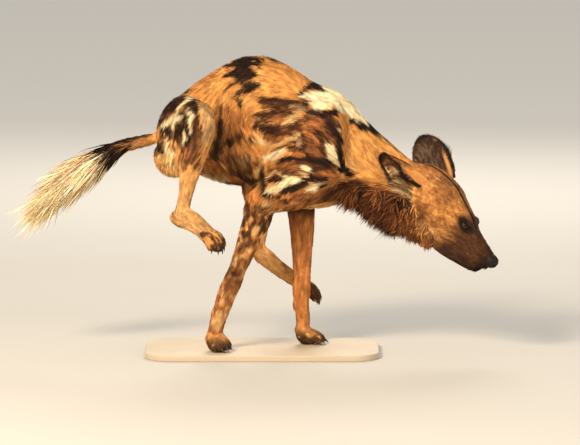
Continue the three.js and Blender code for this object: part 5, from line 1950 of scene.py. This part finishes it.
def solid(
    name: str, points: Array, faces: list[Face], nodes: list[str], finish: Material
) -> Object:
    """Make one smooth piece that stands in for some nodes.

    Args:
        name: The piece's name.
        points: Its corners in metres.
        faces: Their order round each face.
        nodes: The nodes of the frame that it replaces.
        finish: Its material.

    Returns:
        The piece, riding on the body.
    """
    mesh = bpy.data.meshes.new(name)
    mesh.from_pydata(points.tolist(), [], faces)
    mesh.update()
    mesh.shade_smooth()
    piece = added(name, mesh)
    dress(piece, finish, nodes)
    return piece


def tube_faces(rings: int, sides: int, first: int = 0) -> list[Face]:
    """Return the faces of a closed tube of rings, with both ends filled by fans.

    Args:
        rings: How many rings there are.
        sides: Corners in a ring.
        first: Number of the first corner; the two end points follow the last ring.

    Returns:
        Faces turned outward where the rings run anticlockwise seen from the far end.
    """
    faces: list[Face] = []
    start, end = first + rings * sides, first + rings * sides + 1
    for k in range(sides):
        n = (k + 1) % sides
        for r in range(rings - 1):
            a, b = first + r * sides + k, first + r * sides + n
            faces.append((a, b, b + sides, a + sides))
        faces.append((first + n, first + k, start))
        last = first + (rings - 1) * sides
        faces.append((last + k, last + n, end))
    return faces


@dataclass(frozen=True)
class EarForm:
    """The large round ear in the head's frame, in millimetres."""

    length: float = 134.0
    width: float = 98.0
    cup: float = 18.0
    thick: float = 3.4
    base: Point = (-18.0, 50.0, 32.0)
    straight: float = 0.48  # share of the half breadth before the front margin folds
    flap: float = 1.5  # how much longer than flat the folded margin is
    fold: dict[str, float] = field(default_factory=lambda: {"left": 0.0, "right": 2.75})
    along: dict[str, Point] = field(default_factory=lambda: {"left": (-0.9, 0.38, 0.22), "right": (-0.89, 0.44, 0.07)})
    rows: int = 44
    around: int = 72


EAR = EarForm()


class Ear:
    """One ear: a cupped leaf with folds inside, a fringed rim and fur on both faces."""

    def __init__(self, name: str, fur: Material) -> None:
        """Build an ear.

        Args:
            name: The side, left or right.
            fur: The material of hair.
        """
        self.side = SIDES[name]
        self.fold = EAR.fold[name]
        self.along = unit(np.array(EAR.along[name]) * (1, self.side, 1))
        i = np.linspace(0, 1, EAR.rows)
        s = (1 - (1 - i) ** 1.7)[:, None]
        turn = full_turn(EAR.around)[None]
        cosine, sine = np.cos(turn), np.sin(turn)
        t = np.sign(cosine) * np.abs(cosine) ** 0.75
        rim = np.sign(sine) * np.abs(sine) ** 0.45
        thick = rim * EAR.thick / 2 * (1.25 - 0.45 * s) * (1 - 0.35 * t**4)
        along, across, face = self.axes()
        half = EAR.width / 2 * (0.74 + 0.66 * s - 0.54 * s**2) * np.sqrt(1.003 - s**3.4)
        cup = EAR.cup * (1.3 - s)
        folds = np.where(sine > 0, 1.3 * np.sin(9.5 * t + 0.6) * np.clip(1 - 1.5 * s, 0, 1), 0)
        wave = 1.8 * np.sin(5.5 * s + 0.8 + self.side) * t**3 + 1.2 * np.sin(11 * s) * np.abs(t) ** 3
        breadth, rise, curl = self.section(t, s)
        bowl = t + (np.minimum(t, EAR.straight) - t) * min(1.0, self.fold)
        slim = 1 - 0.5 * min(1.0, self.fold) * ease(s, 0.2, 0.95) * (t < 0)
        breadth = half * slim * breadth - thick * np.sin(curl)
        depth = cup * (bowl**2 - 0.6) + half * rise + thick * np.cos(curl) + folds + wave
        base = np.array(EAR.base) * (1, self.side, 1)
        place = base + along * (EAR.length * s - 8)[..., None] + across * breadth[..., None] + face * depth[..., None]
        ends = [place[0].mean(0)[None], place[-1].mean(0)[None]]
        points = HEAD.world(np.concatenate([place.reshape(-1, 3)] + ends))
        faces = tube_faces(EAR.rows, EAR.around)
        if self.side < 0:
            faces = [f[::-1] for f in faces]
        self.object = solid(f"ear_{name}", points, faces, [f"ear_{name}"], fur)
        self.check_outward()
        unwrap(self.object)
        inside = np.broadcast_to(np.clip(0.5 + rim * 0.5, 0, 1), t.shape)
        grid = np.broadcast_arrays(s, t, inside)
        fields = np.stack([g.ravel() for g in grid], 1)
        fields = np.concatenate([fields, [[0, 0, 0.5], [1, 0, 0.5]]])
        curl = np.append(curl, [0, 0])[:, None]
        self.sideways = HEAD.direction(across * np.cos(curl) + face * np.sin(curl))
        self.hide = self.furred(fields, HEAD.direction(along))
        self.hide.wear()

    def section(self, t: Array, s: Array) -> tuple[Array, Array, Array]:
        """Return how broad and how deep the ear is at each place, and how far it has turned there.

        Args:
            t: Places across the ear from -1 to 1, in one row.
            s: Places along it from 0 to 1, in one column.

        Returns:
            Breadth and depth as shares of the half breadth, and the turn in radians.
        """
        steps = np.linspace(0, 1, 61)
        turn = self.fold * (1 - ease(s, 0.8, 1.0)) * ease(steps, 0.0, 0.3)
        length = EAR.flap * (1 - 0.75 * ease(s, 0.4, 0.7)) if self.fold else 1.0
        stride = (1 - EAR.straight) * length / (len(steps) - 1)
        margin = np.clip((t[0] - EAR.straight) / (1 - EAR.straight), 0, 1)

        def spread(values: Array) -> Array:
            """Return values along the margin at each place."""
            return np.stack([np.interp(margin, steps, row) for row in values])

        run = stride * (np.cumsum(np.cos(turn), 1) - np.cos(turn[:, :1]))
        climb = stride * np.cumsum(np.sin(turn), 1)
        return np.minimum(t, EAR.straight) + spread(run), spread(climb), spread(turn)

    def axes(self) -> tuple[Array, Array, Array]:
        """Return the ear's length, breadth and inner face as directions of the head's frame."""
        along = self.along
        across = np.array([0.33, 0.24, 0.9])  # both ears stand turned with the roll of the head
        across = unit(across - along * float(across @ along))
        return along, across, np.cross(along, across) * self.side

    def check_outward(self) -> None:
        """Turn the faces round if they point into the ear."""
        mesh = bmesh.new()
        mesh.from_mesh(self.object.data)
        bmesh.ops.recalc_face_normals(mesh, faces=mesh.faces)
        mesh.to_mesh(self.object.data)
        mesh.free()

    def furred(self, fields: Array, along: Array) -> Hide:
        """Return the ear as a hide: short fur outside, longer sparse hair in the cup."""
        s, t, inside = fields.T
        cup = ease(inside, 0.5, 0.7)
        lie = unit(along + self.sideways * ((0.7 + 0.7 * cup) * t * ease(s, 0.1, 0.8))[:, None])
        length = 6.5 + cup * (3 + 20 * (1 - ease(s, 0.2, 0.75)))
        lift = 12 + cup * 14 * (1 - ease(s, 0.4, 0.9))
        density = 55 - cup * 12
        return Hide(self.object, lie, length, 1.0 + 0 * s, lift, density, fields, self.paint)

    def paint(self, points: Array, lie: Array, fields: Array) -> Array:
        """Return the ear's colours: dark brown back and rim, tan hair in the cup."""
        s, t, inside = fields.T
        noise = Noise(0.0036, 31).streaks(points, lie, 0.014)
        mottle = Noise(0.009, 32).layered(points)
        cup = ease(inside, 0.42, 0.58)
        back = 1 - cup
        colours = np.tile(GREY_BROWN.rgb, (len(points), 1))
        lay(
            colours,
            (DARK, 0.75 * ease(0.52 - noise, 0.0, 0.12)),
            (ASH, 0.35 * ease(noise, 0.54, 0.66)),
            (RED_BROWN, 0.5 * ease(mottle, 0.45, 0.65)),
            (BROWN, cup * 0.85),
            (DARK_BROWN, cup * 0.9 * ease(0.5 - noise, 0.0, 0.1)),
            (ORANGE, cup * ease(noise, 0.53, 0.64) * 0.7),
        )
        low = 1 - ease(s + 0.3 * t + 0.3 * (mottle - 0.5), 0.4, 0.75)
        lay(
            colours,
            (PALE_TAN, cup * low * (0.1 + 0.6 * ease(noise, 0.47, 0.57))),
            (CREAM, cup * low * ease(noise, 0.55, 0.66) * 0.75),
        )
        if self.fold:
            flap = back * ease(t, 0.4, 0.5)
            lay(
                colours,
                (TAN, flap * (1 - ease(s + 0.2 * (mottle - 0.5), 0.5, 0.68)) * 0.95),
                (ORANGE, flap * 0.5 * ease(noise, 0.45, 0.6)),
                (DARK, back * band(t, 0.42, 0.6) * ease(s, 0.34, 0.5) * 0.95),
            )
        else:
            low = 1 - ease(s + 0.1 * noise, 0.45, 0.6)
            lay(
                colours,
                (TAN, back * low * band(t, 0.7, 0.9) * 0.9),
                (DARK, back * low * band(t, 0.58, 0.7) * 0.9),
                (ORANGE, back * 0.6 * (1 - ease(s + 0.2 * noise, 0.1, 0.3))),
            )
        lay(
            colours,
            (DARK, ease(t + 0.1 * (noise - 0.5), 0.86, 0.93)),
            (DARK, ease(s + 0.1 * (noise - 0.5), 0.84, 0.94)),
            (DARK, ease(-t + 0.1 * (noise - 0.5), 0.86, 0.95) * ease(s, 0.35, 0.6) * 0.85),
        )
        return colours

    def grow(self, name: str, fur: Material) -> None:
        """Grow the fur on both faces and the fringe round the rim."""
        form = TuftForm(sink=0.0008, bend=0.5, contrast=0.42, reading=0.4)
        Coat(f"ear_{name}_fur", self.hide.sow(self.hide.density, 61), form, "ear", fur)
        s, t, _ = self.hide.fields.T
        rim = ease(np.maximum(np.abs(t), s**2), 0.86, 0.97) * ease(s, 0.05, 0.2)
        lie = unit(self.hide.lie * 0.9 + self.sideways * (np.sign(t) * 0.55 * (np.abs(t) > 0.5))[:, None])
        fringe = replace(self.hide, lie=lie, length=5.5 + 4 * (1 - s), lift=8 + 0 * s)
        Coat(f"ear_{name}_fringe", fringe.sow(rim * 130, 62), replace(form, bend=0.3), "ear", fur)


@dataclass(frozen=True)
class Eyeball:
    """One eye with a raised cornea, in the eye's form."""

    name: str
    rings: int = 40
    sides: int = 48
    cornea: float = 0.05  # how far the cornea stands out, as a share of the radius

    def build(self, finish: Material) -> None:
        """Make the eye on the side that its name says, of one material."""
        side = SIDES[self.name]
        rings, sides = self.rings, self.sides
        out = unit(np.array(EYE.out) * (1, side, 1))
        first = unit(np.cross(out, np.array([0.0, 0.0, 1.0])))
        second = np.cross(out, first)
        angle = np.linspace(0.02, math.pi - 0.02, rings)[::-1][:, None]
        turn = full_turn(sides)[None]
        radius = EYE.radius * (1 + self.cornea * np.exp(-((angle / 0.5) ** 2)))
        ball = (radius * np.cos(angle) + 0 * turn)[..., None] * out
        ball = ball + (radius * np.sin(angle) * np.cos(turn))[..., None] * first
        ball = ball + (radius * np.sin(angle) * np.sin(turn))[..., None] * second
        middle = np.array(EYE.middle) * (1, side, 1)
        ends = np.stack([-out * EYE.radius, out * EYE.radius * (1 + self.cornea)])
        points = HEAD.world(np.concatenate([ball.reshape(-1, 3), ends]) + middle)
        piece = solid(f"eye_{self.name}", points, tube_faces(rings, sides), [f"eye_{self.name}"], finish)
        reach = np.concatenate([np.broadcast_to(angle, (rings, sides)).ravel(), [math.pi, 0.0]])
        iris = ease(reach, 0.2, 0.24) * (1 - ease(reach, 0.5, 0.56))
        write_colours(piece.data, np.repeat(iris[:, None], 3, 1))


@dataclass(frozen=True)
class Nose:
    """The bare nose in the head's frame, with comma-shaped nostrils and a groove between them, in millimetres."""

    middle: Point = (213.5, 0.0, -8.0)
    half: Point = (18.5, 19.5, 16.5)
    hole: tuple[Point, Point] = ((231.0, 6.2, -8.0), (226.0, 9.0, -7.5))
    slit: tuple[Point, Point] = ((228.0, 10.5, -8.5), (219.0, 16.0, -12.5))
    hole_depth: float = 7.0
    slit_depth: float = 3.2
    wing: float = 1.1
    groove: float = 1.4
    rings: int = 64
    sides: int = 88

    def build(self, finish: Material) -> None:
        """Make the nose of one material."""
        rings, sides = self.rings, self.sides
        angle = np.linspace(0.02, math.pi - 0.02, rings)[:, None]
        turn = full_turn(sides)[None]
        high, out = np.sin(angle) * np.cos(turn), np.sin(angle) * np.sin(turn)
        ball = np.stack(np.broadcast_arrays(-np.cos(angle), high, out), -1)
        ball = np.concatenate([ball.reshape(-1, 3), [[-1, 0, 0], [1, 0, 0]]])
        boxy = ball / np.maximum(np.abs(ball).max(1, keepdims=True), 1e-6)
        form = (0.82 * ball + 0.18 * boxy * 0.8) * self.half
        form[:, 2] += 1.5 * (1 - (form[:, 1] / 17) ** 2)
        q = form + self.middle
        f = Skin.folded(q)
        hole = capsule(f, *np.array(self.hole))
        slit = capsule(f, *np.array(self.slit))
        sink = self.hole_depth * (1 - ease(hole, 1.6, 4.4)) + self.slit_depth * (1 - ease(slit, 0.3, 2.2))
        wing = self.wing * np.exp(-(((hole - 5.4) / 1.6) ** 2))
        groove = self.groove * np.exp(-((q[:, 1] / 1.1) ** 2)) * ease(-q[:, 2], 3, 8)
        q = q - ball * (sink - wing + groove)[:, None]
        solid("nose_pad", HEAD.world(q), tube_faces(rings, sides), ["nose_pad"], finish)


@dataclass(frozen=True)
class Claws:
    """One paw's claws, blunt curved cones, in millimetres."""

    name: str
    form: PawForm
    length: float = 13.0
    radius: float = 3.1
    curve: float = 3.4  # how far the tip bends down
    sunk: float = 4.5
    rings: int = 9
    sides: int = 12

    def build(self, place: Array, finish: Material) -> None:
        """Make the claws.

        Args:
            place: Matrix from the paw's frame to the dog's.
            finish: Their material.
        """
        points, faces = [], []
        form, rings, sides = self.form, self.rings, self.sides
        for i in range(form.toes):
            (a, z1, _, _), (b, z2, _, _) = form.toe[-2:]
            start = np.array([*form.along_toe(i, a), z1])
            end = np.array([*form.along_toe(i, b), z2])
            ahead = unit(end - start)
            across = unit(np.cross(ahead, UP))
            above = np.cross(across, ahead)
            t = np.linspace(0, 1, rings)[:, None]
            root = end - ahead * self.sunk + above * 1.2
            middle = root + ahead * (self.length * t) - above * (self.curve * t**2)
            radius = self.radius * (1 - 0.82 * t**1.4)
            turn = full_turn(sides)[None]
            ring = middle[:, None] + (radius * np.cos(turn) * 0.72)[..., None] * across
            ring = ring + (radius * np.sin(turn))[..., None] * above
            faces += tube_faces(rings, sides, len(points) * (rings * sides + 2))
            points.append(np.concatenate([ring.reshape(-1, 3), middle[0][None], (middle[-1] + ahead * 0.7)[None]]))
        world = (np.concatenate(points) @ place[:3, :3].T + place[:3, 3]) * MM
        nodes = [f"claw_{self.name}_{i + 1}" for i in range(form.toes)]
        solid(f"claws_{self.name}", world, faces, nodes, finish)


@dataclass(frozen=True)
class Base:
    """The thin board that the dog stands on, with rounded corners and edges, in metres."""

    corner: float = 0.070
    edge: float = 0.0022
    steps: int = 24

    def build(self, finish: Material) -> None:
        """Make the board of one material."""
        low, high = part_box("stand_base")
        corner, edge = self.corner, self.edge
        outline = []
        for k, (x, y) in enumerate(((high.x, high.y), (low.x, high.y), (low.x, low.y), (high.x, low.y))):
            middle = np.array([x - math.copysign(corner, x - (low.x + high.x) / 2), y - math.copysign(corner, y)])
            turns = math.pi / 2 * k + np.linspace(0, math.pi / 2, self.steps)
            outline += [(middle, np.array([math.cos(a), math.sin(a)])) for a in turns]
        rounds = np.linspace(0, math.pi / 2, 6)
        profile = [(edge * (1 - math.sin(a)), low.z + edge * (1 - math.cos(a))) for a in rounds]
        profile += [(edge * (1 - math.cos(a)), high.z - edge * (1 - math.sin(a))) for a in rounds]
        rings = [[(*(m + (corner - inset) * d), z) for m, d in outline] for inset, z in profile]
        points = np.array(rings).reshape(-1, 3)
        centre = points[: len(outline), :2].mean(0)
        points = np.concatenate([points, [[*centre, low.z], [*centre, high.z]]])
        solid("base", points, tube_faces(len(profile), len(outline)), ["stand_base"], finish)


# The whole dog


def skin_hide(skin: Skin, markings: Markings) -> Hide:
    """Return the skin as a hide, with the regions' weights as its fields."""
    fields = [sum(w for name, w in skin.weights.items() if name.startswith(region.value)) for region in Region]
    return Hide(skin.object, skin.lie, skin.length, skin.width, skin.lift, skin.density, np.stack(fields, 1), markings)


@dataclass(frozen=True)
class Brush:
    """The tail's long white-tipped brush: tufts a square centimetre, their width in millimetres and their form."""

    density: float = 56.0
    width: float = 2.6
    form: TuftForm = TuftForm(
        (0.0, 0.35, 0.7, 1.0), (1.0, 0.95, 0.65, 0.0), bend=0.75, swing=0.12, sink=0.002, droop=0.12, tip_tone=1.1,
        reading=0.15, locks=0.6,
    )

    def grow(self, hide: Hide, fur: Material) -> None:
        """Grow the brush on the skin, of one material."""
        tail = hide.weight(Region.TAIL)
        points, _, _, _ = hide.corners()
        along = -points[:, 0] / MM
        share = ease(along, 296, 330) * (tail > 0.5)
        long = replace(
            hide,
            length=38 + 62 * ease(along, 310, 390),
            width=self.width + 0 * along,
            lift=9 + 9 * ease(along, 320, 380) - 6 * ease(along, 460, 512),
            lie=unit(hide.lie - UP * 0.12),
        )
        Coat("tail_brush", long.sow(share * self.density, 71), self.form, "tail_tip", fur)


@dataclass(frozen=True)
class Ruff:
    """The long dark hair of the throat and behind the cheeks: how dense, how wide, how lifted and its form."""

    density: float = 24.0
    width: float = 2.8
    lift: float = 17.0
    hang: Point = (-0.62, 0.0, -0.78)
    form: TuftForm = TuftForm(
        (0.0, 0.4, 0.75, 1.0), (1.0, 0.9, 0.6, 0.0), bend=0.6, swing=0.26, sink=0.002, droop=0.25, tip_tone=1.2,
        contrast=0.5, reading=0.15, locks=3.2,
    )

    def grow(self, hide: Hide, fur: Material) -> None:
        """Grow the ruff on the skin, of one material."""
        points, normals, _, _ = hide.corners()
        arms = hide.weight(Region.ARM_RIGHT, Region.ARM_LEFT)
        still = np.full(len(points), 0.5)
        cover = replace(RUFF, soft=5, ragged=0).cover(points[:, [0, 2]] / MM, still, still)
        cover = cover * (1 - ease(arms, 0.2, 0.5))
        hang = np.array(self.hang)
        lie = hang - dots(np.tile(hang, (len(points), 1)), normals) * normals * 0.55
        long = replace(
            hide,
            length=(28 + 16 * cover * ease(-normals[:, 2], -0.2, 0.6)) * (1 - 0.55 * ease(points[:, 0] / MM, 320, 400)),
            width=self.width + 0 * cover,
            lift=self.lift + 0 * cover,
            lie=unit(lie),
        )
        Coat("ruff", long.sow(ease(cover, 0.35, 0.75) * self.density, 81), self.form, "coat", fur)


FLESH_NODES = (
    "torso", "neck", "head", "thigh_", "shank_", "upper_foreleg_", "lower_foreleg_", "hindfoot_", "forepaw_",
    "tail_root", "tail_brush",
)


def main() -> None:
    """Dress the dog piece by piece."""
    logging.basicConfig(level=logging.INFO, format="%(name)s: %(message)s")
    Studio().build()
    fur = FurFinish("short_fur").material()
    skin = Skin(flesh() + orbits())
    unwrap(skin.object)
    hide = skin_hide(skin, Markings())
    hide.wear()
    skin.object.data.shade_smooth()
    dress(skin.object, fur, [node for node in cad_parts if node.startswith(FLESH_NODES)])
    log.info("skin: %d triangles", len(skin.object.data.loop_triangles))
    paws = ease(hide.weight(Region.FOREPAWS, Region.HINDPAWS), 0.4, 0.6)
    Coat("body_coat", hide.sow(hide.density * (1 - paws), 41), TuftForm(), "coat", fur)
    Coat("paw_coat", hide.sow(hide.density * paws, 42), TuftForm(), "paw", fur)
    Ruff().grow(hide, fur)
    Brush().grow(hide, fur)
    horn = HornFinish("dark_horn", (0.022, 0.015, 0.011), (0.12, 0.085, 0.06)).material()
    wet = EyeFinish().material()
    for name in SIDES:
        Ear(name, fur).grow(name, fur)
        Eyeball(name).build(wet)
    for name, form, place in paw_places():
        Claws(name, form).build(place, horn)
    Nose().build(LeatherFinish("damp_black_leather", (0.010, 0.007, 0.006)).material())
    Base().build(BoardFinish().material())


if __name__ == "__main__":
    main()
